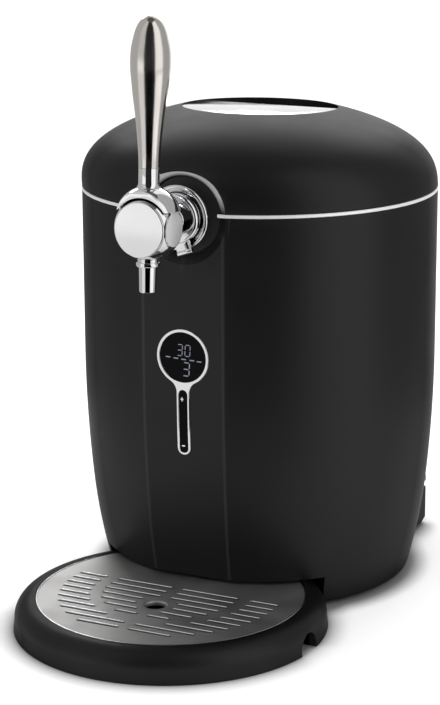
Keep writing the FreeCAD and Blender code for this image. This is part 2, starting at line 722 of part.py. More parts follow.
def well_collar():
    """Deck round the mouth of the well with an upstand that the lid's seal closes on."""
    inside = barrel_solid(WALL + FIT)
    top_z = SEAM_Z - FIT
    body = inside.common(block(-BARREL_R, BARREL_R, -BARREL_R, BARREL_R, WELL_TOP_Z - DECK_T, top_z))
    hollow = barrel_solid(2 * WALL + FIT)
    body = body.cut(hollow.common(block(-BARREL_R, BARREL_R, -BARREL_R, BARREL_R, WELL_TOP_Z, top_z + 1)))
    mouth = cylinder(WELL_R + WELL_WALL + FIT, 2 * SEAM_Z, Vector(0, WELL_Y, 0), Vector(0, 0, 1))
    body = body.cut(mouth)
    body = body.cut(tap_tool(RECESS_BOSS_R + FIT, FRONT_Y + RECESS_DEPTH + FIT))
    return body.cut(hinge_notch(WELL_TOP_Z, SEAM_Z + 1)).removeSplitter()


def insulation_jacket():
    low = POCKET_TOP_Z + POCKET_T
    outer = WELL_Y - facet_y(low, WALL) - JACKET_GAP
    floor = WELL_FLOOR_Z - WELL_WALL
    high = WELL_TOP_Z - DECK_T - FIT
    jacket = cylinder(outer, high - low, Vector(0, WELL_Y, low), Vector(0, 0, 1))
    clear = WELL_R + WELL_WALL + FIT
    jacket = jacket.cut(cylinder(clear, high, Vector(0, WELL_Y, floor), Vector(0, 0, 1)))
    half = 0.5 * SINK_W + SLIP
    window = block(-half, half, 0.5 * WELL_R, BARREL_R, COOLER_Z - half, COOLER_Z + half)
    probe = probe_shape(FIT)
    return jacket.cut(window).cut(probe)


def probe_shape(grow=0.0):
    x = -(WELL_R + WELL_WALL + PROBE_R + FIT)
    return cylinder(PROBE_R + grow, PROBE_L + grow, Vector(x, WELL_Y, PROBE_Z), Vector(0, 0, 1))


# ------------------------------------------------------------ cooler
COLD_FACE_Y = WELL_Y + WELL_R + WELL_WALL + COLD_BLOCK_T
SINK_FACE_Y = COLD_FACE_Y + PELTIER_T
FIN_ROOT_Y = SINK_FACE_Y + SINK_BASE_T
FAN_Y = REAR_Y - REAR_WALL - SCREW_HEAD_H - FIT - FAN_T


def centred_plate(width, y0, y1):
    half = 0.5 * width
    return block(-half, half, y0, y1, COOLER_Z - half, COOLER_Z + half)


def cold_block():
    lump = centred_plate(COLD_BLOCK, WELL_Y + 0.5 * WELL_R, COLD_FACE_Y)
    bed = cylinder(WELL_R + WELL_WALL + GREASE, WELL_TOP_Z, Vector(0, WELL_Y, 0), Vector(0, 0, 1))
    return lump.cut(bed)


def heat_sink():
    sink = [centred_plate(SINK_W, SINK_FACE_Y, FIN_ROOT_Y)]
    half = 0.5 * SINK_W
    for i in range(FIN_COUNT):
        x = (i - 0.5 * (FIN_COUNT - 1)) * FIN_PITCH
        fin = block(x - FIN_T / 2, x + FIN_T / 2, FIN_ROOT_Y, FAN_Y, COOLER_Z - half, COOLER_Z + half)
        sink.append(fin)
    return union(sink)


def fan_frame():
    body = centred_plate(FAN_W, FAN_Y, FAN_Y + FAN_T)
    upright = [e for e in body.Edges if e.BoundBox.YLength > FAN_T - 0.1]
    body = body.makeFillet(FAN_CORNER, upright)
    axis = Vector(0, 1, 0)
    centre = Vector(0, FAN_Y, COOLER_Z)
    body = body.cut(cylinder(FAN_BORE_R, FAN_T, centre, axis))
    back = centre + axis * (FAN_T - STATOR_T)
    stator = cylinder(FAN_HUB_R, STATOR_T, back, axis)
    spokes = []
    for i in range(4):
        half = FAN_SPOKE_W / 2
        spoke = block(-half, half, back.y, back.y + STATOR_T, COOLER_Z, COOLER_Z + FAN_BORE_R + FAN_TIP_GAP)
        spokes.append(spoke.rotate(centre, axis, 45 + 90 * i))
    body = body.multiFuse([stator] + spokes)
    body = body.cut(cylinder(FAN_AXLE_R + RUN, STATOR_T, back, axis))
    for x in (-FAN_SCREW, FAN_SCREW):
        for z in (-FAN_SCREW, FAN_SCREW):
            body = body.cut(cylinder(SCREW_R + FIT, FAN_T, Vector(x, FAN_Y, COOLER_Z + z), axis))
    return body.removeSplitter()


def blade_section(reach_back, reach_ahead, low_y, high_y, z):
    """Slanting outline of a fan blade at one height."""
    corners = [
        Vector(-reach_back, low_y, z),
        Vector(reach_ahead, high_y, z),
        Vector(reach_ahead + BLADE_T, high_y, z),
        Vector(-reach_back + BLADE_T, low_y, z),
    ]
    return Part.makePolygon(corners + corners[:1])


def fan_rotor():
    """Hub, axle and pitched blades."""
    axis = Vector(0, 1, 0)
    front = Vector(0, FAN_Y + FAN_REST, COOLER_Z)
    depth = FAN_T - STATOR_T - 2 * FAN_REST
    pieces = [cylinder(FAN_HUB_R, depth, front, axis)]
    pieces.append(cylinder(FAN_AXLE_R, STATOR_T + FAN_REST, front + axis * depth, axis))
    root_z = COOLER_Z + FAN_HUB_R - BLADE_SINK
    tip_z = COOLER_Z + math.sqrt((FAN_BORE_R - FAN_TIP_GAP) ** 2 - (BLADE_TIP + BLADE_T) ** 2)
    for i in range(FAN_BLADES):
        root = blade_section(*BLADE_ROOT, front.y + 0.05 * depth, front.y + 0.9 * depth, root_z)
        tip = blade_section(BLADE_TIP, BLADE_TIP, front.y + 0.25 * depth, front.y + 0.8 * depth, tip_z)
        blade = Part.makeLoft([root, tip], True, True)
        pieces.append(blade.rotate(front, axis, 360.0 * i / FAN_BLADES))
    return union(pieces)


def fan_screws():
    places = [(x, z) for x in (-FAN_SCREW, FAN_SCREW) for z in (-FAN_SCREW, FAN_SCREW)]
    at_y = FAN_Y + FAN_T
    length = FAN_T + FAN_SCREW_REACH
    return [screw(Vector(x, at_y, COOLER_Z + z), Vector(0, -1, 0), length) for x, z in places]


# ------------------------------------------------------------ rear cover
def rear_block(inset, top_z):
    low = BASE_Z + inset
    body = block(-REAR_HALF_W + inset, REAR_HALF_W - inset, 0, REAR_Y - inset, low, top_z - inset)
    upright = [e for e in body.Edges if e.BoundBox.ZLength > 100 and e.BoundBox.YMin > REAR_Y - inset - 1]
    return body.makeFillet(REAR_CORNER - inset, upright)


def louvre(half, z):
    return block(-half, half, REAR_Y - 2 * REAR_WALL, 2 * REAR_Y, z - LOUVRE_H / 2, z + LOUVRE_H / 2)


def rear_cover():
    box = rear_block(0.0, REAR_TOP_Z).cut(rear_block(REAR_WALL, REAR_TOP_Z))
    box = box.cut(barrel_solid(-FIT))
    slope = Part.makePolygon([
        Vector(-BARREL_R, REAR_Y - REAR_FOOT_RUN * REAR_FOOT, -1),
        Vector(-BARREL_R, REAR_Y + 1, -1),
        Vector(-BARREL_R, REAR_Y + 1, REAR_FOOT),
        Vector(-BARREL_R, REAR_Y - REAR_FOOT_RUN * REAR_FOOT, -1),
    ])
    box = box.cut(Part.Face(slope).extrude(Vector(2 * BARREL_R, 0, 0)))
    for x, z in REAR_SCREWS:
        for side in (-1, 1):
            at = Vector(side * x, REAR_Y - REAR_BOSS_T, z)
            box = box.fuse(cylinder(REAR_BOSS_R + 1, REAR_BOSS_T, at, Vector(0, 1, 0)))
    cuts = []
    for z in VENT_Z:
        low = z - VENT_H / 2
        corner = block(REAR_HALF_W - VENT_W, BARREL_R, REAR_Y - VENT_D, 2 * REAR_Y, low, low + VENT_H)
        cuts += mirrored(corner)
    reach = FAN_BORE_R + LOUVRE_MARGIN
    count = int(reach // LOUVRE_PITCH)
    for i in range(-count, count + 1):
        z = COOLER_Z + i * LOUVRE_PITCH
        half = math.sqrt(reach ** 2 - (i * LOUVRE_PITCH) ** 2)
        cuts.append(louvre(half, z))
    for i in range(UPPER_LOUVRES):
        cuts.append(louvre(UPPER_LOUVRE_HALF, UPPER_LOUVRE_Z + i * LOUVRE_PITCH))
    for x, z in REAR_SCREWS:
        cuts += mirrored(cylinder(SCREW_R + FIT, 20, Vector(x, REAR_Y - 10, z), Vector(0, 1, 0)))
        cuts += mirrored(cylinder(SCREW_HEAD_R + FIT, 20, Vector(x, REAR_Y - HEAD_SINK, z), Vector(0, 1, 0)))
    cuts.append(inlet_block(FIT, REAR_Y - 10, REAR_Y + 5))
    cuts.append(inlet_block(INLET_RIM + FIT, REAR_Y - INLET_SINK, REAR_Y + 5))
    for cut in cuts:
        box = box.cut(cut)
    return max(box.Solids, key=lambda s: s.Volume)


def rear_cover_screws():
    screws = []
    for x, z in REAR_SCREWS:
        for side in (-1, 1):
            screws.append(screw(Vector(side * x, REAR_Y - HEAD_SINK, z), Vector(0, -1, 0), REAR_SCREW_L))
    return screws


def inlet_block(grow, y0, y1):
    half_w = 0.5 * INLET_W + grow
    half_h = 0.5 * INLET_H + grow
    body = block(INLET_X - half_w, INLET_X + half_w, y0, y1, INLET_Z - half_h, INLET_Z + half_h)
    along = [e for e in body.Edges if e.BoundBox.YLength > y1 - y0 - 0.1]
    return body.makeFillet(half_h - INLET_WALL, along)


def power_inlet():
    """Two-pin appliance inlet let into the rear cover."""
    face = REAR_Y - FIT
    flange = inlet_block(INLET_RIM, REAR_Y - INLET_SINK, face)
    body = inlet_block(0.0, REAR_Y - INLET_DEPTH, face)
    hollow = inlet_block(-INLET_WALL, REAR_Y - INLET_SOCKET, REAR_Y + 1)
    pins = []
    for side in (-1, 1):
        at = Vector(INLET_X + side * INLET_PIN_X, REAR_Y - INLET_SOCKET - FIT, INLET_Z)
        pins.append(cylinder(INLET_PIN_R, INLET_PIN_L, at, Vector(0, 1, 0)))
    return union([flange.fuse(body).cut(hollow)] + pins)


# ------------------------------------------------------------ electronics
def power_board():
    """Supply board on four posts, with its transformer, choke, heat bar and two cans."""
    foot = BASE_Z + PLATE_T
    low = foot + BOARD_POST_H
    top = low + BOARD_T
    half = POWER_BOARD_W / 2
    pieces = [block(-half, half, 0, POWER_BOARD_D, low, top)]
    for x, y, wide, deep, high in POWER_BLOCKS:
        pieces.append(block(x, x + wide, y, y + deep, top, top + high))
    for x, y, radius, high in POWER_CANS:
        pieces.append(cylinder(radius, high, Vector(x, y, top), Vector(0, 0, 1)))
    for y in (BOARD_POST_INSET, POWER_BOARD_D - BOARD_POST_INSET):
        post = cylinder(BOARD_POST_R, BOARD_POST_H, Vector(half - BOARD_POST_INSET, y, foot), Vector(0, 0, 1))
        pieces += mirrored(post)
    return union(pieces)


CONTROL_Y = FRONT_Y + WALL + CONTROL_GAP


def control_board():
    """Board behind the display, with the display's block, a chip and a plug."""
    back = CONTROL_Y + BOARD_T
    half = CONTROL_W / 2
    low_z = PILL_END_Z - CONTROL_REACH[0]
    high_z = DISPLAY_Z + CONTROL_REACH[1]
    front = FRONT_Y + LENS_T
    panel_z = DISPLAY_Z - PANEL_HALF_H
    return union([
        block(-half, half, CONTROL_Y, back, low_z, high_z),
        block(-PANEL_HALF_W, PANEL_HALF_W, front, CONTROL_Y, panel_z, panel_z + 2 * PANEL_HALF_H),
        block(-CHIP / 2, CHIP / 2, back, back + BOARD_T, CHIP_Z - CHIP / 2, CHIP_Z + CHIP / 2),
        block(-PLUG_W / 2, PLUG_W / 2, back, back + PLUG_D, PLUG_Z - PLUG_H / 2, PLUG_Z + PLUG_H / 2),
    ])


def head_form(inset):
    """Round opening of the display, cut through the wall."""
    y0, y1 = FRONT_CUT
    return cylinder(BEZEL_R - BEZEL_W - inset, y1 - y0, Vector(0, y0, DISPLAY_Z), Vector(0, 1, 0))


def pill_form(inset):
    """Pill-shaped opening of the touch strip, cut through the wall."""
    y0, y1 = FRONT_CUT
    half = PILL_HALF_W - TOUCH_WALL - inset
    low_z = PILL_END_Z + PILL_HALF_W
    high_z = DISPLAY_Z - TOUCH_TOP - PILL_HALF_W + TOUCH_WALL
    ends = [cylinder(half, y1 - y0, Vector(0, y0, z), Vector(0, 1, 0)) for z in (low_z, high_z)]
    return union([block(-half, half, y0, y1, low_z, high_z)] + ends)


def display_bezel():
    """One bright frame round the display and the touch strip, with a ledge for each glass."""
    frame = keyhole(0.0).common(wall_slice(-BEZEL_PROUD, BEZEL_DEPTH))
    for form in (head_form, pill_form):
        frame = frame.cut(form(LENS_LEDGE)).cut(form(0.0).common(wall_slice(-2 * BEZEL_PROUD, LENS_T)))
    return frame.removeSplitter()


def glass(form):
    return form(FIT / 2).common(wall_slice(-FIT / 3, LENS_T))


def display_lens():
    return glass(head_form)


def touch_strip():
    return glass(pill_form)


# ------------------------------------------------------------ tap socket, stem and lock
SOCKET_FRONT_Y = FRONT_Y + RECESS_DEPTH - SOCKET_T - SOCKET_SEAT


def tap_socket():
    """Dark floor of the recess with the hub that carries the tap, on a foot on the deck."""
    axis = Vector(0, 1, 0)
    floor = cylinder(RECESS_R - FIT, SOCKET_T, Vector(0, SOCKET_FRONT_Y, TAP_Z), axis)
    hub = cylinder(SOCKET_HUB_R, SOCKET_HUB_L, Vector(0, SOCKET_FRONT_Y, TAP_Z), axis)
    back = SOCKET_FRONT_Y + SOCKET_HUB_L
    foot = block(-SOCKET_HUB_R, SOCKET_HUB_R, back - SOCKET_FOOT_D, back, WELL_TOP_Z, TAP_Z)
    body = union([floor, hub, foot])
    mouth = cylinder(WELL_R + WELL_WALL + WELL_LIP + FIT, 2 * SEAM_Z, Vector(0, WELL_Y, 0), Vector(0, 0, 1))
    bore = cylinder(STEM_TAIL_R + RUN, SOCKET_HUB_L, Vector(0, SOCKET_FRONT_Y, TAP_Z), axis)
    return body.cut(bore).cut(mouth).removeSplitter()


def tap_flange():
    """Dished chrome escutcheon."""
    front = FLANGE_FRONT_Y
    rim_back = front + FLANGE_RIM_T
    bore = STEM_TAIL_R + RUN
    points = [
        (bore, front + FLANGE_DISH),
        (FLANGE_DISH_R, front + FLANGE_DISH),
        (FLANGE_LIP_R, front + FLANGE_LIP_Y),
        (FLANGE_R - FLANGE_RIM_W, front),
        (FLANGE_R - FLANGE_CHAMFER, front),
        (FLANGE_R, front + FLANGE_CHAMFER),
        (FLANGE_R, rim_back),
        (FLANGE_HUB_R, rim_back + FLANGE_BACK_T),
        (FLANGE_HUB_R, SOCKET_FRONT_Y),
        (bore, SOCKET_FRONT_Y),
    ]
    return lathe_y(points, TAP_Z)


LOCK_Y = FLANGE_FRONT_Y + FLANGE_DISH - FIT - LOCK_RING_W


def lock_ring():
    """Quarter-turn ring that holds the tap in its socket, with a thumb lug."""
    axis = Vector(0, 1, 0)
    at = Vector(0, LOCK_Y, TAP_Z)
    inner = STEM_R + RUN
    points = [
        (inner, LOCK_Y),
        (LOCK_RING_R - LOCK_FRONT_CHAMFER, LOCK_Y),
        (LOCK_RING_R, LOCK_Y + LOCK_FRONT_CHAMFER),
        (LOCK_RING_R, LOCK_Y + LOCK_RING_W - LOCK_BACK_CHAMFER[1]),
        (LOCK_RING_R - LOCK_BACK_CHAMFER[0], LOCK_Y + LOCK_RING_W),
        (inner, LOCK_Y + LOCK_RING_W),
    ]
    body = lathe_y(points, TAP_Z)
    half = 0.5 * LOCK_LUG_W
    middle_y = LOCK_Y + LOCK_BEAD_R + 0.5 * FIT
    low_z = TAP_Z - LOCK_LUG_DROP
    lug = block(-half, half, middle_y - 0.5 * LOCK_LUG_T, middle_y + 0.5 * LOCK_LUG_T, low_z, TAP_Z - STEM_R)
    bead = cylinder(LOCK_BEAD_R, LOCK_LUG_W, Vector(-half, middle_y, low_z), Vector(1, 0, 0))
    lug = lug.fuse(bead)
    lug = lug.cut(cylinder(inner + 1.0, LOCK_RING_W, at, axis))
    lug = lug.rotate(Vector(0, 0, TAP_Z), axis, LOCK_LUG_REST)
    return body.fuse(lug).removeSplitter()


def tap_stem():
    shoulder_y = FLANGE_FRONT_Y + FLANGE_DISH
    points = [
        (STEM_BORE_R, BALL_Y + BALL_R - STEM_SINK),
        (STEM_R, BALL_Y + BALL_R - STEM_SINK),
        (STEM_R, shoulder_y),
        (STEM_TAIL_R, shoulder_y),
        (STEM_TAIL_R, STEM_END_Y - STEM_TIP_L),
        (STEM_TIP_R, STEM_END_Y - STEM_TIP_L),
        (STEM_TIP_R, STEM_END_Y - STEM_TIP_CHAMFER[1]),
        (STEM_TIP_R - STEM_TIP_CHAMFER[0], STEM_END_Y),
        (STEM_BORE_R, STEM_END_Y),
    ]
    stem = lathe_y(points, TAP_Z)
    for back in SEAL_RING_SET:
        y = STEM_END_Y - back
        at = Vector(0, y, TAP_Z)
        groove = ring(STEM_TAIL_R + 1, STEM_TAIL_R - SEAL_RING_T, SEAL_RING_L, at, Vector(0, 1, 0))
        stem = stem.cut(groove)
    return stem


def stem_seals():
    rings = []
    for back in SEAL_RING_SET:
        y = STEM_END_Y - back
        at = Vector(0, y, TAP_Z)
        rings.append(ring(STEM_TAIL_R, STEM_TAIL_R - SEAL_RING_T, SEAL_RING_L, at, Vector(0, 1, 0)))
    return rings


# ------------------------------------------------------------ tap head, drawn upright about its ball
def leaned(shape):
    """Put a piece drawn about the ball's centre into place."""
    shape = shape.rotate(Vector(0, 0, 0), Vector(1, 0, 0), -TAP_LEAN)
    return shape.translated(Vector(0, BALL_Y, BALL_Z))


def tap_body():
    ball = Part.makeSphere(BALL_R)
    keep = block(-BALL_FLAT, BALL_FLAT, -BALL_FACE, BALL_R, -BALL_R, BALL_R)
    body = ball.common(keep)
    boss = cylinder(SPOUT_COLLAR_R - 1.0, 6.0, Vector(0, 0, -BALL_R - 0.6), Vector(0, 0, 1))
    body = body.fuse(boss)
    body = body.cut(cylinder(VALVE_R, 2 * BALL_R, Vector(0, -BALL_FACE + VALVE_WALL, 0), Vector(0, 1, 0)))
    body = body.cut(cylinder(SPOUT_BORE_R, BALL_R + 2, Vector(0, 0, -BALL_R - 1), Vector(0, 0, 1)))
    body = body.cut(cylinder(PIVOT_R + RUN, 4 * BALL_R, Vector(-2 * BALL_R, 0, 0), Vector(1, 0, 0)))
    body = leaned(body)
    seat = cylinder(STEM_R, 2 * BALL_R, Vector(0, BALL_Y + BALL_R - STEM_SINK, TAP_Z), Vector(0, 1, 0))
    return body.cut(seat).removeSplitter()


def tap_front_cap():
    cap = cylinder(CAP_R, CAP_T, Vector(0, -BALL_FACE, 0), Vector(0, -1, 0))
    rim = [e for e in cap.Edges if e.BoundBox.YMax < -BALL_FACE - CAP_T + 0.01]
    return leaned(cap.makeFillet(0.7 * CAP_T, rim))


def tap_valve():
    """Sliding plug that the pivot's cam draws off its seat."""
    start = -BALL_FACE + VALVE_WALL + FIT
    plug = cylinder(VALVE_R - RUN, VALVE_L, Vector(0, start, 0), Vector(0, 1, 0))
    ahead = PIVOT_R + VALVE_TRAVEL + FIT
    slot = block(-VALVE_R, VALVE_R, -ahead, PIVOT_R + FIT, -PIVOT_R - FIT, PIVOT_R + FIT)
    return leaned(plug.cut(slot))


def yoke_bell():
    """Bell about the handle's axis: a neck that flares and rounds over to the rim."""
    turn = math.radians(NECK_FLARE_TURN)

    def on_flare(angle):
        across = NECK_R + NECK_FLARE * (1 - math.cos(angle))
        return Vector(across, 0, NECK_Z - NECK_FLARE * math.sin(angle))

    rim = Vector(BELL_RIM[0], 0, BELL_RIM[1])
    edges = [
        Part.LineSegment(Vector(NECK_R, 0, NECK_TOP), Vector(NECK_R, 0, NECK_Z)).toShape(),
        Part.Arc(Vector(NECK_R, 0, NECK_Z), on_flare(0.5 * turn), on_flare(turn)).toShape(),
        Part.Arc(on_flare(turn), Vector(BELL_SIDE[0], 0, BELL_SIDE[1]), rim).toShape(),
    ]
    edges += polyline([rim, Vector(0, 0, rim.z), Vector(0, 0, NECK_TOP), Vector(NECK_R, 0, NECK_TOP)])
    return turned(edges, Vector(0, 0, 0), Vector(0, 0, 1))


def handle_yoke():
    """One casting: the neck, a bell cut flat front and back over the ball, and two round ears."""
    slab = block(-2 * BALL_R, 2 * BALL_R, -YOKE_DEPTH, YOKE_DEPTH, 0, NECK_TOP)
    bell = yoke_bell().common(slab).cut(Part.makeSphere(BALL_R + YOKE_GAP))
    inner_x = BALL_FLAT + EAR_GAP
    ear = cylinder(EAR_R, EAR_T, Vector(inner_x, 0, 0), Vector(1, 0, 0))
    link = block(inner_x, inner_x + EAR_T, -EAR_LINK_Y, EAR_LINK_Y, EAR_R - EAR_LINK_Y, BELL_RIM[1] + 1.0)
    yoke = bell.multiFuse(mirrored(ear.fuse(link)))
    socket_z = NECK_TOP - 0.5 * STUD_L + STUD_ROOM
    yoke = yoke.cut(cylinder(STUD_R, STUD_L, Vector(0, 0, socket_z), Vector(0, 0, 1)))
    return leaned(yoke.cut(pin_form()).removeSplitter())


def pin_form():
    half = BALL_FLAT + EAR_GAP + EAR_T - EAR_SKIN
    return cylinder(PIVOT_R, 2 * half, Vector(-half, 0, 0), Vector(1, 0, 0))


def pivot_pin():
    return leaned(pin_form())


def arc_between(start, end, centre):
    """The short arc about a centre from start to end."""
    middle = centre + ((start - centre) + (end - centre)).normalize() * (start - centre).Length
    return Part.Arc(start, middle, end).toShape()


def grip_outline():
    """Hollow waist, swelling side and rounded tip, as four arcs that run smoothly into each other."""
    foot = Vector(NECK_R, 0, NECK_TOP)
    wide = Vector(GRIP_R, 0, GRIP_WIDE)
    both = (wide - foot).Length ** 2 / (2 * (GRIP_R - NECK_R))
    waist_r = both * GRIP_WAIST_SHARE
    turn = foot + (wide - foot) * GRIP_WAIST_SHARE
    waist_centre = foot + Vector(waist_r, 0, 0)
    swell_centre = wide - Vector(both - waist_r, 0, 0)
    rise = GRIP_TOP - GRIP_WIDE
    side_r = (GRIP_R ** 2 + rise ** 2 - 2 * rise * GRIP_TIP_R) / (2 * (GRIP_R - GRIP_TIP_R))
    side_centre = wide - Vector(side_r, 0, 0)
    tip_centre = Vector(0, 0, GRIP_TOP - GRIP_TIP_R)
    shoulder = side_centre + (tip_centre - side_centre).normalize() * side_r
    top = Vector(0, 0, GRIP_TOP)
    return [
        arc_between(foot, turn, waist_centre),
        arc_between(turn, wide, swell_centre),
        arc_between(wide, shoulder, side_centre),
        arc_between(shoulder, top, tip_centre),
    ]


def handle_grip():
    """Turned steel grip that swells towards a rounded point."""
    foot = Vector(0, 0, NECK_TOP)
    outline = grip_outline() + polyline([Vector(0, 0, GRIP_TOP), foot, Vector(NECK_R, 0, NECK_TOP)])
    grip = turned(outline, Vector(0, 0, 0), Vector(0, 0, 1))
    socket = cylinder(STUD_R, 0.5 * STUD_L + STUD_ROOM, Vector(0, 0, NECK_TOP), Vector(0, 0, 1))
    return leaned(grip.cut(socket))


def grip_stud():
    low = NECK_TOP - 0.5 * STUD_L + STUD_ROOM + STUD_FREE
    return leaned(cylinder(STUD_R, STUD_L - 2 * STUD_FREE, Vector(0, 0, low), Vector(0, 0, 1)))


def spout_collar():
    top = -BALL_R - 0.6
    body = ring(SPOUT_COLLAR_R, SPOUT_R, SPOUT_COLLAR_H, Vector(0, 0, top), Vector(0, 0, -1))
    return leaned(body)


def spout():
    top = -BALL_R - 0.6
    points = [(SPOUT_BORE_R, top), (SPOUT_R, top), (SPOUT_R, top - SPOUT_COLLAR_H)]
    points += [(SPOUT_TIP_R, -SPOUT_END + 0.5), (SPOUT_TIP_R - 0.5, -SPOUT_END), (SPOUT_BORE_R, -SPOUT_END)]
    return leaned(lathe_z(points))


# ------------------------------------------------------------ lid
def lid_outer():
    return dome_solid(BARREL_R, DOME_H, LID_Z).common(facet_limit(0.0))


def dish_cup(radius, low_z):
    return cylinder(radius, 2 * DOME_H, Vector(0, 0, low_z), Vector(0, 0, 1))


def lid_shell():
    hollow = dome_solid(BARREL_R - WALL, DOME_H - WALL, LID_Z, DOME_SECTIONS, True).common(facet_limit(WALL))
    hollow = hollow.cut(dish_cup(DISH_R + DISH_WALL, DISH_FLOOR_Z - DISH_WALL))
    hollow = hollow.cut(recess_boss())
    for x, y in on_circle(LID_SCREW_R, LID_SCREW_ANGLES):
        hollow = hollow.cut(cylinder(LID_POST_R, DOME_H, Vector(x, y, LID_Z + LINER_T), Vector(0, 0, 1)))
    shell = lid_outer().cut(hollow)
    shell = shell.cut(dish_cup(DISH_R, DISH_FLOOR_Z))
    shell = shell.cut(recess_tools())
    for x, y in on_circle(LID_SCREW_R, LID_SCREW_ANGLES):
        shell = shell.cut(cylinder(SCREW_R, LID_SCREW_L, Vector(x, y, LID_Z), Vector(0, 0, 1)))
    return shell.cut(hinge_notch(LID_Z - 1, HINGE_Z + KNUCKLE_R + SLIP))


def grip_plate():
    """Bright D-shaped plate over the front of the dish; fingers go in behind its straight edge."""
    radius = DISH_R - FIT
    disc = cylinder(radius, 2 * GRIP_PLATE_LIFT, Vector(0, 0, DISH_FLOOR_Z), Vector(0, 0, 1))
    front_y = -DISH_R
    back = GRIP_PLATE_Z
    lift = GRIP_PLATE_RISE
    low = DISH_FLOOR_Z
    outline = Part.makePolygon([
        Vector(-BARREL_R, front_y - 1, back + lift),
        Vector(-BARREL_R, GRIP_CHORD_Y, back),
        Vector(-BARREL_R, GRIP_CHORD_Y, back - GRIP_PLATE_T),
        Vector(-BARREL_R, front_y + GRIP_WALL_T, back + lift - GRIP_PLATE_T),
        Vector(-BARREL_R, front_y + GRIP_WALL_T, low),
        Vector(-BARREL_R, front_y - 1, low),
        Vector(-BARREL_R, front_y - 1, back + lift),
    ])
    plate = Part.Face(outline).extrude(Vector(2 * BARREL_R, 0, 0)).common(disc)
    half = GRIP_NOTCH_W / 2
    sill = back - GRIP_NOTCH_H
    notch = block(-half, half, front_y - 1, front_y + GRIP_NOTCH_D, sill, back + GRIP_PLATE_LIFT)
    return plate.cut(notch)


def liner_pan(inset):
    """The liner's pan as a solid, moved inwards by inset."""
    corner = inset * (math.sqrt(2) - 1)
    top = LID_Z + LINER_H
    roof_r = LINER_R - LINER_DRAFT
    points = [
        (0, LID_Z),
        (LINER_R - inset, LID_Z),
        (roof_r - inset, top - LINER_CHAMFER - corner),
        (roof_r - LINER_CHAMFER - corner, top - inset),
        (0, top - inset),
    ]
    return lathe_z(points)


def lid_liner():
    """Vacuum-formed pan: a flange on the lid's rim, a steep wall and a flat roof."""
    edge = dome_solid(BARREL_R - WALL - FIT, DOME_H - WALL, LID_Z, DOME_SECTIONS, True)
    edge = edge.common(facet_limit(WALL + FIT))
    flange = edge.common(block(-BARREL_R, BARREL_R, -BARREL_R, BARREL_R, LID_Z, LID_Z + LINER_T))
    body = flange.fuse(liner_pan(0.0)).cut(liner_pan(LINER_T))
    body = body.cut(tap_tool(RECESS_BOSS_R + FIT, FRONT_Y + RECESS_BAY))
    for x, y in on_circle(LID_SCREW_R, LID_SCREW_ANGLES):
        body = body.cut(cylinder(SCREW_R + FIT, LINER_T, Vector(x, y, LID_Z), Vector(0, 0, 1)))
    return body.cut(hinge_notch(LID_Z - 1, HINGE_Z + KNUCKLE_R + SLIP)).removeSplitter()


def lid_insulation():
    """Foam between the lid's shell and its liner."""
    gap = WALL + FOAM_GAP
    outer = dome_solid(BARREL_R - gap, DOME_H - gap, LID_Z, DOME_SECTIONS // 2, True).common(facet_limit(gap))
    outer = outer.cut(block(-BARREL_R, BARREL_R, -BARREL_R, BARREL_R, LID_Z - 5, LID_Z + LINER_T))
    body = outer.cut(liner_pan(-FIT))
    body = body.cut(dish_cup(DISH_R + DISH_WALL + FIT, DISH_FLOOR_Z - DISH_WALL - FIT))
    body = body.cut(tap_tool(RECESS_BOSS_R + FIT, FRONT_Y + RECESS_BAY))
    body = body.cut(hinge_notch(LID_Z - 1, HINGE_Z + ARM_RISE + FIT))
    for x, y in on_circle(LID_SCREW_R, LID_SCREW_ANGLES):
        body = body.cut(cylinder(LID_POST_R + FIT, DOME_H, Vector(x, y, LID_Z), Vector(0, 0, 1)))
    return max(body.Solids, key=lambda s: s.Volume)


def lid_screws():
    places = on_circle(LID_SCREW_R, LID_SCREW_ANGLES)
    return [screw(Vector(x, y, LID_Z), Vector(0, 0, 1), LID_SCREW_L) for x, y in places]


def lid_seal():
    """Soft ring under the lid's rim; it opens round the tap and the hinge."""
    low = SEAM_Z
    high = LID_Z
    radius = BARREL_R - WALL - FIT
    outer = cylinder(radius, high - low, Vector(0, 0, low), Vector(0, 0, 1))
    outer = outer.common(facet_limit(TRIM_T + FIT))
    body = outer.cut(cylinder(radius - SEAL_W, 20, Vector(0, 0, low - 5), Vector(0, 0, 1)))
    body = body.cut(tap_tool(RECESS_BOSS_R + FIT, -0.5 * BARREL_R))
    return body.cut(hinge_notch(low - 1, high + 1))


# ------------------------------------------------------------ hinge
def hinge_brackets():
    brackets = []
    outer = EAR_X
    arm = (ARM_X[0] - FIT, ARM_X[1] + FIT)
    front = HINGE_Y - HINGE_NOTCH_D + FIT
    inside = cylinder(BARREL_R - 2 * WALL - 2 * FIT, SEAM_Z, Vector(0, 0, 0), Vector(0, 0, 1))
    low = WELL_TOP_Z
    near = HINGE_Y - BRACKET_D[0]
    foot = block(outer[0], outer[1] + BRACKET_TOE, near, HINGE_Y + BRACKET_D[1], low, low + WALL)
    foot = foot.common(inside)
    for x0, x1 in ((outer[0], arm[0]), (arm[1], outer[1])):
        ear = cylinder(KNUCKLE_R, x1 - x0, Vector(x0, HINGE_Y, HINGE_Z), Vector(1, 0, 0))
        web = block(x0, x1, front, front + 2 * WALL, WELL_TOP_Z, HINGE_Z)
        rise = block(x0, x1, front, HINGE_Y, HINGE_Z - KNUCKLE_R, HINGE_Z)
        foot = foot.multiFuse([ear, web, rise])
    foot = foot.cut(cylinder(HINGE_PIN_R, 2 * outer[1], Vector(0, HINGE_Y, HINGE_Z), Vector(1, 0, 0)))
    brackets += mirrored(foot.removeSplitter())
    return brackets


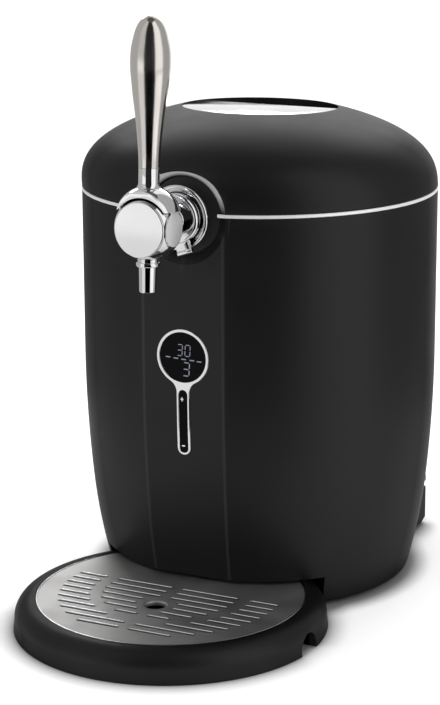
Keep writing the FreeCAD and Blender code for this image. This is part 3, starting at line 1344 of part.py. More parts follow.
def hinge_pins():
    length = EAR_X[1] - EAR_X[0] + PIN_HEAD
    pin = cylinder(HINGE_PIN_R, length, Vector(EAR_X[0], HINGE_Y, HINGE_Z), Vector(1, 0, 0))
    head = cylinder(HINGE_PIN_R + PIN_HEAD, PIN_HEAD, Vector(EAR_X[1], HINGE_Y, HINGE_Z), Vector(1, 0, 0))
    return mirrored(pin.fuse(head).removeSplitter())


def lid_hinge_arms():
    """Knuckle and arm on each side, screwed to the lid inside its rear wall."""
    x0, x1 = ARM_X
    knuckle = cylinder(KNUCKLE_R, x1 - x0, Vector(x0, HINGE_Y, HINGE_Z), Vector(1, 0, 0))
    riser = block(x0, x1, HINGE_Y - ARM_D, HINGE_Y + 2 * WALL, HINGE_Z, HINGE_Z + ARM_RISE)
    riser = riser.common(dome_solid(BARREL_R - WALL - ARM_SEAT, DOME_H - WALL, LID_Z, DOME_SECTIONS, True))
    arm = knuckle.fuse(riser)
    arm = arm.cut(cylinder(HINGE_PIN_R + RUN, 2 * x1, Vector(0, HINGE_Y, HINGE_Z), Vector(1, 0, 0)))
    return mirrored(arm.removeSplitter())


# ------------------------------------------------------------ drip tray and grid
def tray_body():
    """The tray before it is hollowed: a low disc with a rounded shoulder and a straight back."""
    top = Vector(TRAY_SHOULDER_R, 0, TRAY_TOP_Z)
    middle = Vector(TRAY_R - SKIRT_MID[0], 0, TRAY_TOP_Z - SKIRT_MID[1])
    low = Vector(TRAY_R - SKIRT_LOW[0], 0, SKIRT_LOW[1])
    foot = Vector(TRAY_R, 0, 0)
    edges = polyline([top, Vector(0, 0, TRAY_TOP_Z), Vector(0, 0, 0), foot, low])
    edges.append(Part.Arc(low, middle, top).toShape())
    body = turned(edges, Vector(0, 0, 0), Vector(0, 0, 1)).translated(Vector(0, TRAY_Y, 0))
    reach = 2 * TRAY_R
    return body.common(block(-reach, reach, TRAY_Y - reach, TRAY_REAR_Y, 0, TRAY_TOP_Z))


def drip_tray():
    """Round tray with a seat for the grid, a basin, a hollow skirt and two finger arches."""
    body = tray_body()
    seat_z = TRAY_TOP_Z - GRID_DROP - GRID_T
    basin_r = GRID_R - GRID_LEDGE
    high = 2 * TRAY_TOP_Z
    rear = TRAY_REAR_Y - TRAY_WALL
    body = body.cut(tray_disc(GRID_R + 2 * FIT, seat_z, high, rear))
    body = body.cut(tray_disc(basin_r, TRAY_FLOOR_Z, high, rear - GRID_LEDGE))
    under = tray_disc(TRAY_R - TRAY_SIDE_T, -1, TRAY_SKIRT_HOLLOW, rear)
    under = under.cut(tray_disc(basin_r + TRAY_WALL, -1, high, TRAY_Y + TRAY_R))
    body = body.cut(under)
    body = body.cut(tray_disc(basin_r - TRAY_RIM_W, -1, TRAY_RELIEF, TRAY_REAR_Y - 2 * TRAY_RIM_W))
    reach = GRIP_ARCH_R
    spring_z = GRIP_ARCH_TOP - GRIP_ARCH_R
    for side in (-1, 1):
        x0 = side * TRAY_R - reach
        arch = cylinder(GRIP_ARCH_R, 2 * reach, Vector(x0, GRIP_ARCH_Y, spring_z), Vector(1, 0, 0))
        gap = block(x0, x0 + 2 * reach, GRIP_ARCH_Y - GRIP_ARCH_R, GRIP_ARCH_Y + GRIP_ARCH_R, -1, spring_z)
        body = body.cut(arch).cut(gap)
    return body.removeSplitter()


def chord(radius, offset):
    """Half the chord of a circle at an offset from its centre, or nothing outside it."""
    return math.sqrt(radius ** 2 - offset ** 2) if abs(offset) < radius else 0.0


def slot_spans(y):
    """Where the slots of one row start and end on the right-hand half of the grid."""
    across = y - TRAY_Y
    end = chord(SLOT_FIELD_R, across)
    bare_in = chord(SLOT_FIELD_R - SLOT_BARE[0], across)
    bare_out = chord(SLOT_FIELD_R - SLOT_BARE[1], across)
    drain = chord(DRAIN_R + DRAIN_LAND, y - DRAIN_Y)
    start = max(SLOT_RIB, drain)
    pairs = [(start, bare_in), (max(bare_out, start), end)]
    return [(x0, x1) for x0, x1 in pairs if x1 > x0 + SLOT_LEAST]


def slot_tool(x0, x1, y, z0, z1):
    """A round-ended slot along X."""
    half = SLOT_W / 2
    tool = block(x0 + half, x1 - half, y - half, y + half, z0, z1)
    ends = [cylinder(half, z1 - z0, Vector(x, y, z0), Vector(0, 0, 1)) for x in (x0 + half, x1 - half)]
    return tool.multiFuse(ends).removeSplitter()


def drip_grid():
    top = TRAY_TOP_Z - GRID_DROP
    low = top - GRID_T
    plate = tray_disc(GRID_R, low, top, TRAY_REAR_Y - TRAY_WALL - 2 * FIT)
    plate = plate.cut(cylinder(DRAIN_R, TRAY_TOP_Z, Vector(0, DRAIN_Y, low - 1), Vector(0, 0, 1)))
    tools = []
    for row in range(1 + int((SLOT_FIELD_R + SLOT_FIRST) / SLOT_PITCH)):
        y = TRAY_Y + SLOT_FIRST - row * SLOT_PITCH
        for x0, x1 in slot_spans(y):
            tools += mirrored(slot_tool(x0, x1, y, low - 1, top + 1))
    return plate.cut(Part.makeCompound(tools))


# ------------------------------------------------------------ write every piece
def main():
    os.makedirs("parts", exist_ok=True)
    save("body_shell", body_shell())
    save("seam_trim", seam_trim())
    save("base_plate", base_plate())
    save("rubber_feet", *rubber_feet())
    save("base_screws", *base_screws())
    save("keg_well", keg_well())
    save("well_collar", well_collar())
    save("insulation_jacket", insulation_jacket())
    save("temperature_probe", probe_shape())
    save("cold_block", cold_block())
    save("peltier_module", centred_plate(PELTIER, COLD_FACE_Y, SINK_FACE_Y))
    save("heat_sink", heat_sink())
    save("fan_frame", fan_frame())
    save("fan_rotor", fan_rotor())
    save("fan_screws", *fan_screws())
    save("rear_cover", rear_cover())
    save("rear_cover_screws", *rear_cover_screws())
    save("power_inlet", power_inlet())
    save("power_board", power_board())
    save("control_board", control_board())
    save("display_bezel", display_bezel())
    save("display_lens", display_lens())
    save("touch_strip", touch_strip())
    save("tap_socket", tap_socket())
    save("tap_flange", tap_flange())
    save("lock_ring", lock_ring())
    save("tap_stem", tap_stem())
    save("stem_seals", *stem_seals())
    save("tap_body", tap_body())
    save("tap_front_cap", tap_front_cap())
    save("tap_valve", tap_valve())
    save("spout_collar", spout_collar())
    save("spout", spout())
    save("handle_yoke", handle_yoke())
    save("pivot_pin", pivot_pin())
    save("handle_grip", handle_grip())
    save("grip_stud", grip_stud())
    save("lid_shell", lid_shell())
    save("lid_grip_plate", grip_plate())
    save("lid_liner", lid_liner())
    save("lid_insulation", lid_insulation())
    save("lid_screws", *lid_screws())
    save("lid_seal", lid_seal())
    save("hinge_brackets", *hinge_brackets())
    save("hinge_pins", *hinge_pins())
    save("lid_hinge_arms", *lid_hinge_arms())
    save("drip_tray", drip_tray())
    save("drip_grid", drip_grid())


main()
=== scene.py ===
import math
from contextlib import contextmanager

import bmesh
import bpy
from mathutils import Matrix, Vector


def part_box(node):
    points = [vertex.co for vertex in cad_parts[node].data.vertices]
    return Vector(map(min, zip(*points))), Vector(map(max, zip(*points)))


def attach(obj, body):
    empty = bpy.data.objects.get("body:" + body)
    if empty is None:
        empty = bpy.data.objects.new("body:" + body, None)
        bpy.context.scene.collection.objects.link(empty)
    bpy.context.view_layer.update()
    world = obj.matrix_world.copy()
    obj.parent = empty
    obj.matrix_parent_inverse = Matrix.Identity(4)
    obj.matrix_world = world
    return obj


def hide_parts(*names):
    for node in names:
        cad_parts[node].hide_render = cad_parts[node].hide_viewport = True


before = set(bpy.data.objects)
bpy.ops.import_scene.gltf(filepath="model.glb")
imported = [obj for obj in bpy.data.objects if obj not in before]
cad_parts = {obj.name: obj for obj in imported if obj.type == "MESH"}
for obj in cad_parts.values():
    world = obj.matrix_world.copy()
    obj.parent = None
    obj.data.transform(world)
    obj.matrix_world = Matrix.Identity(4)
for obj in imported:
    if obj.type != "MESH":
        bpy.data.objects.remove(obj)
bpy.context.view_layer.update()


# ---------------------------------------------------------------- barrel
# The barrel is one moulding of matt black soft-touch plastic with a flat strip down its front.
# It draws in towards the foot, carries the display and the tap's recess, and stands over the tray.
AXIS_Y = 0.065
BARREL_R = 0.135
SEAM_Z = 0.2992
TAPER_Z = 0.175
WAIST_Z = 0.070
FOOT_Z = 0.006
BASE_Z = 0.003
TAPER_RADIUS = 1.0
WAIST_RADIUS = 0.4
WALL = 0.003
BARREL_EDGE = 0.0004
FACET_DEPTH = 0.00385
CREASE = 0.0004
CREASE_SHINE_W = 0.0016
RING_POINTS = 360
CREASE_POINTS = 10
CREASE_STEP = 0.35
STRAIGHT_ROWS = 14
TAPER_ROWS = 34
FOOT_STEPS = 6


def barrel_radius(z):
    """Outer radius of the barrel at height z: straight, then two arcs drawing in to the foot."""
    if z >= TAPER_Z:
        return BARREL_R
    if z >= WAIST_Z:
        return BARREL_R - TAPER_RADIUS + math.sqrt(TAPER_RADIUS ** 2 - (TAPER_Z - z) ** 2)
    lean = math.asin((TAPER_Z - WAIST_Z) / TAPER_RADIUS)
    centre_r = BARREL_R - TAPER_RADIUS + math.cos(lean) * (TAPER_RADIUS - WAIST_RADIUS)
    centre_z = TAPER_Z - math.sin(lean) * (TAPER_RADIUS - WAIST_RADIUS)
    return centre_r + math.sqrt(WAIST_RADIUS ** 2 - (centre_z - z) ** 2)


def ring_angles():
    """Angles round the barrel from the front, closer together at the flat strip's two creases."""
    angles = [2 * math.pi * i / RING_POINTS for i in range(RING_POINTS)]
    crease = math.acos(1 - FACET_DEPTH / BARREL_R)
    for i in range(CREASE_POINTS):
        aside = crease + math.radians(CREASE_STEP * (i - (CREASE_POINTS - 1) / 2))
        angles += [side * aside % (2 * math.pi) for side in (-1, 1)]
    return sorted(angles)


ANGLES = ring_angles()


def flattened_ring(radius, flat, z, ahead=0.0):
    """Points round a level circle whose front is cut by a plane, with the two creases softened."""
    points = []
    for angle in ANGLES:
        reach = radius
        along = math.cos(angle)
        if along > 0.5:
            plane = flat / along
            near = max(CREASE - abs(plane - radius), 0.0) / CREASE
            reach = min(radius, plane) - 0.25 * near * near * CREASE
        points.append(Vector((reach * math.sin(angle), AXIS_Y - ahead - reach * along, z)))
    return points


def skin(name, rings, closed_loop=False, poles=False):
    """Mesh of quads through rings of equal length; poles close the first and last with fans."""
    count = len(rings[0])
    verts = [p for ring in rings for p in ring]
    around = [(i, (i + 1) % count) for i in range(count)]
    faces = []
    for row in range(len(rings) if closed_loop else len(rings) - 1):
        low, high = row * count, ((row + 1) % len(rings)) * count
        faces += [(low + i, low + j, high + j, high + i) for i, j in around]
    if poles:
        last = (len(rings) - 1) * count
        tip = len(verts)
        verts += [sum(rings[0], Vector()) / count, sum(rings[-1], Vector()) / count]
        faces += [(j, i, tip) for i, j in around]
        faces += [(last + i, last + j, tip + 1) for i, j in around]
    mesh = bpy.data.meshes.new(name)
    mesh.from_pydata(verts, [], faces)
    return mesh


@contextmanager
def reworked(mesh):
    """Open a mesh for editing and write it back."""
    shape = bmesh.new()
    shape.from_mesh(mesh)
    yield shape
    shape.to_mesh(mesh)
    shape.free()


def shaded(thing, smooth_angle=40.0):
    """Soft shading below the given angle."""
    mesh = thing.data
    mesh.polygons.foreach_set("use_smooth", [True] * len(mesh.polygons))
    mesh.set_sharp_from_angle(angle=math.radians(smooth_angle))
    return thing


def piece(name, mesh, material=None, smooth_angle=32.0):
    """A finished object at the origin with outward normals and soft shading."""
    with reworked(mesh) as shape:
        bmesh.ops.remove_doubles(shape, verts=shape.verts, dist=1e-6)
        bmesh.ops.recalc_face_normals(shape, faces=shape.faces)
    thing = bpy.data.objects.new(name, mesh)
    bpy.context.scene.collection.objects.link(thing)
    if material:
        mesh.materials.clear()
        mesh.materials.append(material)
    return shaded(thing, smooth_angle)


def applied(thing):
    """Turn an object's modifiers into its plain mesh."""
    depsgraph = bpy.context.evaluated_depsgraph_get()
    mesh = bpy.data.meshes.new_from_object(thing.evaluated_get(depsgraph))
    thing.modifiers.clear()
    thing.data = mesh
    return thing


def combined(thing, other, operation):
    """Change a piece by a Boolean operation with another object, which is used up."""
    modifier = thing.modifiers.new("combine", "BOOLEAN")
    modifier.operation = operation
    modifier.solver = "EXACT"
    modifier.object = other
    applied(thing)
    bpy.data.objects.remove(other)
    return thing


def carved(thing, cutters, smooth_angle=32.0):
    """Cut other objects out of a piece."""
    for cutter in cutters:
        combined(thing, cutter, "DIFFERENCE")
    return shaded(thing, smooth_angle)


def joined(thing, other):
    """Fuse another object into a piece."""
    return combined(thing, other, "UNION")


def common(thing, other):
    """Keep only what a piece shares with another object."""
    return combined(thing, other, "INTERSECT")


def slug(radius, low, high):
    """Outline of a plain round bar."""
    return [(0, low), (radius, low), (radius, high), (0, high)]


def lathe(points, axis_at=(0, 0, 0), along="Z", segments=96, closed=False):
    """Mesh turned from (radius, height) points; heights run along one axis from axis_at."""
    rings = []
    for radius, height in points:
        ring = []
        for i in range(segments):
            angle = 2 * math.pi * i / segments
            a = max(radius, 1e-7) * math.cos(angle)
            b = max(radius, 1e-7) * math.sin(angle)
            offset = {"Z": (a, b, height), "Y": (a, height, -b), "X": (height, a, b)}[along]
            ring.append(Vector(axis_at) + Vector(offset))
        rings.append(ring)
    return skin("turned", rings, closed_loop=closed)


def block(name, low, high):
    """A plain box, used to cut and fuse with."""
    mesh = bpy.data.meshes.new(name)
    size = Vector(high) - Vector(low)
    middle = (Vector(high) + Vector(low)) / 2
    place = Matrix.Translation(middle) @ Matrix.Diagonal((*size, 1))
    with reworked(mesh) as shape:
        bmesh.ops.create_cube(shape, size=1, matrix=place)
    return piece(name, mesh)


def preset(thing, values):
    """Set the plain values of a node's inputs."""
    for socket, value in values.items():
        thing.inputs[socket].default_value = value
    return thing


def added(tree, kind, values=None, **settings):
    """Add a node with its own settings and the plain values of its inputs."""
    thing = tree.nodes.new(kind)
    for name, setting in settings.items():
        setattr(thing, name, setting)
    return preset(thing, values or {})


def wired(tree, *runs):
    """Link nodes; a run is a node, its output, the next node and its input."""
    for source, output, target, entry in runs:
        tree.links.new(source.outputs[output], target.inputs[entry])


def mixed(tree, first, second):
    """Add a mix of two colours."""
    return added(tree, "ShaderNodeMix", {"A": (*first, 1), "B": (*second, 1)}, data_type="RGBA")


def fresh_finish(name):
    """A new material with its node tree and its Principled shader."""
    material = bpy.data.materials.new(name)
    material.use_nodes = True
    return material, material.node_tree, material.node_tree.nodes["Principled BSDF"]


def fresh_group(name, kind, inputs, outputs):
    """A new node group with named sockets, its way in and its way out."""
    group = bpy.data.node_groups.new(name, kind)
    for in_out, sockets in (("INPUT", inputs), ("OUTPUT", outputs)):
        for socket, carries in sockets.items():
            socket_type = "NodeSocket" + carries
            group.interface.new_socket(socket, in_out=in_out, socket_type=socket_type)
    return group, added(group, "NodeGroupInput"), added(group, "NodeGroupOutput")


def mould_grain_group():
    """Shared effect: fine spark-eroded mould grain, with soft handling marks as a mask."""
    group, inside, outside = fresh_group(
        "mould_grain", "ShaderNodeTree",
        {"Grain Scale": "Float", "Mark Scale": "Float"}, {"Height": "Float", "Marks": "Float"},
    )
    place = added(group, "ShaderNodeTexCoord")
    grain = added(group, "ShaderNodeTexNoise", {"Detail": 3.0})
    pits = added(group, "ShaderNodeTexVoronoi")
    marks = added(group, "ShaderNodeTexNoise", {"Detail": 5.0, "Roughness": 0.65})
    both = added(group, "ShaderNodeMath", {1: 0.6}, operation="MULTIPLY_ADD")
    spread = added(group, "ShaderNodeMapRange", {"From Min": 0.35, "From Max": 0.7})
    wired(
        group,
        (place, "Object", grain, "Vector"), (inside, "Grain Scale", grain, "Scale"),
        (place, "Object", pits, "Vector"), (inside, "Grain Scale", pits, "Scale"),
        (place, "Object", marks, "Vector"), (inside, "Mark Scale", marks, "Scale"),
        (pits, "Distance", both, 0), (grain, "Fac", both, 2), (both, "Value", outside, "Height"),
        (marks, "Fac", spread, "Value"), (spread, "Result", outside, "Marks"),
    )
    return group


def edge_wear_group():
    """Shared effect: a mask of worn corners, broken up by noise."""
    group, inside, outside = fresh_group(
        "edge_wear", "ShaderNodeTree", {"Amount": "Float", "Scale": "Float"}, {"Wear": "Float"}
    )
    geometry = added(group, "ShaderNodeNewGeometry")
    place = added(group, "ShaderNodeTexCoord")
    noise = added(group, "ShaderNodeTexNoise", {"Detail": 4.0})
    corner = added(group, "ShaderNodeMapRange", {"From Min": 0.52, "From Max": 0.62})
    broken = added(group, "ShaderNodeMath", operation="MULTIPLY")
    amount = added(group, "ShaderNodeMath", operation="MULTIPLY")
    wired(
        group,
        (geometry, "Pointiness", corner, "Value"), (corner, "Result", broken, 0),
        (place, "Object", noise, "Vector"), (inside, "Scale", noise, "Scale"),
        (noise, "Fac", broken, 1), (broken, "Value", amount, 0),
        (inside, "Amount", amount, 1), (amount, "Value", outside, "Wear"),
    )
    return group


MOULD_GRAIN = mould_grain_group()
EDGE_WEAR = edge_wear_group()


def moulded(name, colour, wear_and_shine_colour, roughness, grain_scale, bump, mark_scale=9.0):
    """Moulded plastic: grain in the bump, handling marks in the gloss, worn edges and a painted
    crease highlight in colour.
    """
    material, tree, shader = fresh_finish(name)
    scales = {"Grain Scale": grain_scale, "Mark Scale": mark_scale}
    grain = added(tree, "ShaderNodeGroup", scales, node_tree=MOULD_GRAIN)
    wear = added(tree, "ShaderNodeGroup", {"Amount": 0.5, "Scale": 90.0}, node_tree=EDGE_WEAR)
    tint = mixed(tree, colour, wear_and_shine_colour)
    # Painted highlight: the "crease" attribute lightens the colour along the flat strip's two
    # creases, on top of the real edge wear.
    crease = added(tree, "ShaderNodeAttribute", attribute_name="crease")
    edge_wear_and_crease_shine = added(tree, "ShaderNodeMath", operation="MAXIMUM")
    gloss_ends = {"To Min": roughness + 0.05, "To Max": roughness - 0.03}
    gloss = added(tree, "ShaderNodeMapRange", gloss_ends)
    relief = added(tree, "ShaderNodeBump", {"Strength": bump, "Distance": 0.0002})
    facing = added(tree, "ShaderNodeLayerWeight")
    shine_ends = {"From Min": 0.22, "From Max": 0.68, "To Min": 0.3, "To Max": 0.04}
    shine = added(tree, "ShaderNodeMapRange", shine_ends)
    wired(
        tree,
        (wear, "Wear", edge_wear_and_crease_shine, 0), (crease, "Fac", edge_wear_and_crease_shine, 1), (edge_wear_and_crease_shine, "Value", tint, "Factor"),
        (tint, "Result", shader, "Base Color"),
        (grain, "Marks", gloss, "Value"), (gloss, "Result", shader, "Roughness"),
        (grain, "Height", relief, "Height"), (relief, "Normal", shader, "Normal"),
        (facing, "Facing", shine, "Value"), (shine, "Result", shader, "Specular IOR Level"),
    )
    return material


soft_black = moulded(
    "soft_touch_black", (0.0062, 0.006, 0.0065), wear_and_shine_colour=(0.026, 0.026, 0.028), roughness=0.39,
    grain_scale=2600.0, bump=0.18,
)


def barrel_rows():
    """Heights of the rings from the seam down to the foot."""
    top = SEAM_Z - BARREL_EDGE
    straight = [top - (SEAM_Z - TAPER_Z) * i / STRAIGHT_ROWS for i in range(STRAIGHT_ROWS + 1)]
    drawn = [TAPER_Z - (TAPER_Z - FOOT_Z) * i / TAPER_ROWS for i in range(1, TAPER_ROWS + 1)]
    return straight + drawn


def barrel_mesh():
    """The barrel's skin, turned in at the foot and doubled back as its inner wall."""
    flat = BARREL_R - FACET_DEPTH
    rings = [flattened_ring(BARREL_R - BARREL_EDGE, flat - BARREL_EDGE, SEAM_Z)]
    profile = [(barrel_radius(z), z) for z in barrel_rows()]
    curl = FOOT_Z - BASE_Z
    for i in range(1, FOOT_STEPS + 1):
        turn = math.radians(90 * i / FOOT_STEPS)
        radius = barrel_radius(FOOT_Z) - curl * (1 - math.cos(turn))
        profile.append((radius, FOOT_Z - curl * math.sin(turn)))
    for z in [BASE_Z + 0.0005] + list(reversed(barrel_rows()[1:])) + [SEAM_Z]:
        profile.append((barrel_radius(max(z, FOOT_Z)) - WALL, z))
    rings += [flattened_ring(radius, radius - FACET_DEPTH, z) for radius, z in profile]
    return skin("body_shell_skin", rings, closed_loop=True)


def paint_crease_shine(thing):
    """Paint a highlight along the two creases of the flat strip, as a lighter colour in a narrow
    band.
    """
    marks = thing.data.attributes.new("crease", "FLOAT", "POINT")
    for vert in thing.data.vertices:
        x, y, z = vert.co
        radius = barrel_radius(max(z, FOOT_Z))
        aside = math.sqrt(radius ** 2 - (radius - FACET_DEPTH) ** 2)
        if y < 0 and z < SEAM_Z:
            marks.data[vert.index].value = max(0.0, 1.0 - abs(abs(x) - aside) / CREASE_SHINE_W)


TAP_Z = 0.298
RECESS_R = 0.028
RECESS_BEVEL_R = 0.0348
RECESS_BEVEL_DEPTH = 0.0046
RECESS_BOSS_R = 0.038
RECESS_DEPTH = 0.0095
BEVEL_SLOPE = (RECESS_BEVEL_R - RECESS_R) / RECESS_BEVEL_DEPTH
FRONT_Y = AXIS_Y - BARREL_R + FACET_DEPTH


def recess_boss(face_y, low_z, high_z):
    """Thick ring behind the wall round the recess, kept between two heights."""
    inner, outer, back = RECESS_R - 0.002, RECESS_BOSS_R, FRONT_Y + RECESS_DEPTH
    outline = [(inner, face_y), (outer, face_y), (outer, back), (inner, back)]
    ring = piece("ring", lathe(outline, (0, 0, TAP_Z), "Y", closed=True))
    return common(ring, block("keep", (-0.1, -1, low_z), (0.1, 1, high_z)))


def recess_cutter():
    """What the bevelled round recess for the tap takes away."""
    proud, ahead = 0.0015, 0.02
    mouth = RECESS_BEVEL_R + proud * BEVEL_SLOPE
    floor = FRONT_Y + RECESS_DEPTH + 0.002
    outline = [
        (0, FRONT_Y - ahead), (mouth + 0.004, FRONT_Y - ahead), (mouth, FRONT_Y - proud),
        (RECESS_R, FRONT_Y + RECESS_BEVEL_DEPTH), (RECESS_R, floor), (0, floor),
    ]
    return piece("recess_cutter", lathe(outline, (0, 0, TAP_Z), "Y", 128))


TRAY_Y = AXIS_Y - 0.1535
POCKET_R = 0.116
POCKET_TOP_Z = 0.0252
ROUND_STEPS = 192
HINGE_HALF_W = 0.038
HINGE_FRONT_Y = AXIS_Y + 0.1205
HINGE_LOW_Z = 0.2928
WINDOW_HALF_W = 0.062
WINDOW_FRONT_Y = AXIS_Y + 0.067
WINDOW_LOW_Z = 0.078
WINDOW_HIGH_Z = 0.232
BEHIND_Y = 0.3


def hinge_notch(low_z, high_z):
    """What the room for the hinge takes away from the back of a piece."""
    low = (-HINGE_HALF_W, HINGE_FRONT_Y, low_z)
    return block("notch", low, (HINGE_HALF_W, BEHIND_Y, high_z))


barrel = piece("barrel", barrel_mesh(), soft_black)
joined(barrel, recess_boss(FRONT_Y + 0.001, 0.2, SEAM_Z))
pocket_mesh = lathe(slug(POCKET_R, -0.02, POCKET_TOP_Z), (0, TRAY_Y, 0), segments=ROUND_STEPS)
window_low = (-WINDOW_HALF_W, WINDOW_FRONT_Y, WINDOW_LOW_Z)
window = block("window", window_low, (WINDOW_HALF_W, BEHIND_Y, WINDOW_HIGH_Z))
notch = hinge_notch(HINGE_LOW_Z, 0.32)
carved(barrel, [recess_cutter(), piece("pocket", pocket_mesh), notch, window])
paint_crease_shine(barrel)
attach(barrel, "cabinet")
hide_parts("body_shell")


# ---------------------------------------------------------------- seam trim
# A thin strip in satin silver is let in between the barrel and the lid.
# It follows the flat front and stops either side of the tap's recess and of the hinge.
TRIM_H = 0.0024
TRIM_T = 0.0026
TRIM_PROUD = 0.0003
TRIM_EDGE = 0.0004
FIT = 0.0003


def polish_marks_group():
    """Shared effect: polishing marks and smears that vary the gloss of bright metal."""
    group, inside, outside = fresh_group(
        "polish_marks", "ShaderNodeTree",
        {"Stretch": "Vector", "Scale": "Float"}, {"Marks": "Float", "Smears": "Float"},
    )
    place = added(group, "ShaderNodeTexCoord")
    stretch = added(group, "ShaderNodeVectorMath", operation="MULTIPLY")
    lines = added(group, "ShaderNodeTexNoise", {"Detail": 4.0})
    smears = added(group, "ShaderNodeTexNoise", {"Scale": 35.0, "Detail": 3.0})
    wired(
        group,
        (place, "Object", stretch, 0), (inside, "Stretch", stretch, 1),
        (stretch, "Vector", lines, "Vector"), (inside, "Scale", lines, "Scale"),
        (place, "Object", smears, "Vector"),
        (lines, "Fac", outside, "Marks"), (smears, "Fac", outside, "Smears"),
    )
    return group


POLISH_MARKS = polish_marks_group()


def bright_metal(
    name, colour, roughness, spread, scale, bump, stretch=(1, 1, 1), metallic=1.0
):
    """Metal whose gloss varies with polishing or brushing lines and faint smears."""
    material, tree, shader = fresh_finish(name)
    preset(shader, {"Metallic": metallic})
    pattern = {"Stretch": stretch, "Scale": scale}
    marks = added(tree, "ShaderNodeGroup", pattern, node_tree=POLISH_MARKS)
    tint = mixed(tree, [0.9 * c for c in colour], colour)
    gloss_ends = {"To Min": max(roughness - spread, 0.02), "To Max": roughness + spread}
    gloss = added(tree, "ShaderNodeMapRange", {"From Min": 0.3, "From Max": 0.7, **gloss_ends})
    relief = added(tree, "ShaderNodeBump", {"Strength": bump, "Distance": 0.0001})
    wired(
        tree,
        (marks, "Marks", tint, "Factor"), (tint, "Result", shader, "Base Color"),
        (marks, "Smears", gloss, "Value"), (gloss, "Result", shader, "Roughness"),
        (marks, "Marks", relief, "Height"), (relief, "Normal", shader, "Normal"),
    )
    return material


CHROME_TINT = (0.86, 0.86, 0.87)
chrome = bright_metal(
    "bright_chrome", CHROME_TINT, roughness=0.06, spread=0.02, scale=900.0, bump=0.02
)


def trim_mesh():
    """The strip's section, carried round the barrel and along its flat front."""
    flat = BARREL_R - FACET_DEPTH
    outer, inner = TRIM_PROUD, TRIM_PROUD - TRIM_T
    outline = [
        (inner, 0.0), (outer - TRIM_EDGE, 0.0), (outer, TRIM_EDGE),
        (outer, TRIM_H - TRIM_EDGE), (outer - TRIM_EDGE, TRIM_H), (inner, TRIM_H),
    ]
    rings = [flattened_ring(BARREL_R + out, flat + out, SEAM_Z + up) for out, up in outline]
    return skin("trim", rings, closed_loop=True)


SILVER_TINT = (0.9, 0.9, 0.91)
satin_silver = bright_metal(
    "satin_silver", SILVER_TINT, roughness=0.33, spread=0.05, metallic=0.22, scale=700.0, bump=0.03
)
trim = piece("seam_strip", trim_mesh(), satin_silver)
tap_gap = lathe(slug(RECESS_R + FIT, -0.2, 0.0), (0, 0, TAP_Z), "Y")
carved(trim, [piece("tap_gap", tap_gap), hinge_notch(0.29, 0.32)])
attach(trim, "cabinet")
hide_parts("seam_trim")


# ---------------------------------------------------------------- lid
# The domed lid is moulded like the barrel, with a round grip dish sunk in its crown.
# Its crown sits a little forward of the rim, and its front carries on the barrel's flat strip.
LID_Z = 0.3019
DOME_H = 0.067
DOME_SIDE_POWER = 1.45
DOME_TOP_POWER = 2.6
DOME_LEAN = 0.009
DOME_ROWS = 72
DISH_R = 0.059
DISH_FLOOR_Z = 0.338
DISH_WALL = 0.0025
LID_NOTCH_TOP_Z = 0.3109
ABOVE_Z = 0.4
INWARD = -0.3


def dome_rings(radius, height, flat):
    """Rings of the dome from its rim to its crown; the flat front ends where the dome draws in."""
    rings = []
    for i in range(DOME_ROWS):
        share = math.sin(0.5 * math.pi * i / DOME_ROWS) ** (2 / DOME_TOP_POWER)
        reach = radius * (1 - share ** DOME_TOP_POWER) ** (1 / DOME_SIDE_POWER)
        ahead = DOME_LEAN * share * height / DOME_H
        rings.append(flattened_ring(reach, flat - ahead, LID_Z + share * height, ahead))
    tip_ahead = DOME_LEAN * height / DOME_H
    rings.append(flattened_ring(0.0015, flat, LID_Z + height, tip_ahead))
    return rings


def lid_mesh():
    """The lid's solid outer form, with a small broken edge at its rim."""
    flat = BARREL_R - FACET_DEPTH
    edge = 0.0005
    outer = dome_rings(BARREL_R, DOME_H, flat)
    outer[0] = flattened_ring(BARREL_R, flat, LID_Z + edge)
    low = [flattened_ring(BARREL_R - back, flat - back, LID_Z) for back in (WALL, edge)]
    return skin("lid_outer", low + outer, poles=True)


def inner_dome_mesh():
    """The hollow under the lid's wall."""
    flat = BARREL_R - FACET_DEPTH - WALL
    rings = dome_rings(BARREL_R - WALL, DOME_H - WALL, flat)
    under = flattened_ring(BARREL_R - WALL, flat, LID_Z - 0.002)
    return skin("lid_hollow", [under] + rings, poles=True)


def painted_bevel_highlight():
    """Painted highlight on the recess's bevel: silver on its upper part, thinning out into painted
    dark shade towards the seam and the wall.
    """
    material = bright_metal(
        "bevel_with_painted_highlight", SILVER_TINT, roughness=0.3, spread=0.05, metallic=0.25, scale=700.0,
        bump=0.03,
    )
    tree = material.node_tree
    shader = tree.nodes["Principled BSDF"]
    lined = shader.inputs["Base Color"].links[0].from_node
    place = added(tree, "ShaderNodeTexCoord")
    out = added(
        tree, "ShaderNodeVectorMath", {1: (1, 0, 1), 2: (0, 0, -TAP_Z)}, operation="MULTIPLY_ADD"
    )
    far = added(tree, "ShaderNodeVectorMath", operation="LENGTH")
    apart = added(tree, "ShaderNodeSeparateXYZ")
    # Painted light: this mask keeps the silver high up and away from the recess wall, and paints
    # dark shade below and at the inner edge.
    edge_ends = {"From Min": RECESS_R + 0.0006, "From Max": RECESS_R + 0.0028}
    edge = added(tree, "ShaderNodeMapRange", edge_ends)
    painted_highlight_height = added(tree, "ShaderNodeMapRange", {"From Min": 0.004, "From Max": 0.016})
    both = added(tree, "ShaderNodeMath", operation="MULTIPLY")
    painted_highlight_mix = mixed(tree, (0.008, 0.008, 0.009), SILVER_TINT)
    wired(
        tree,
        (place, "Object", out, 0), (out, "Vector", far, 0), (out, "Vector", apart, 0),
        (far, "Value", edge, "Value"), (apart, "Z", painted_highlight_height, "Value"),
        (edge, "Result", both, 0), (painted_highlight_height, "Result", both, 1), (both, "Value", painted_highlight_mix, "Factor"),
        (lined, "Result", painted_highlight_mix, "B"), (painted_highlight_mix, "Result", shader, "Base Color"),
    )
    return material


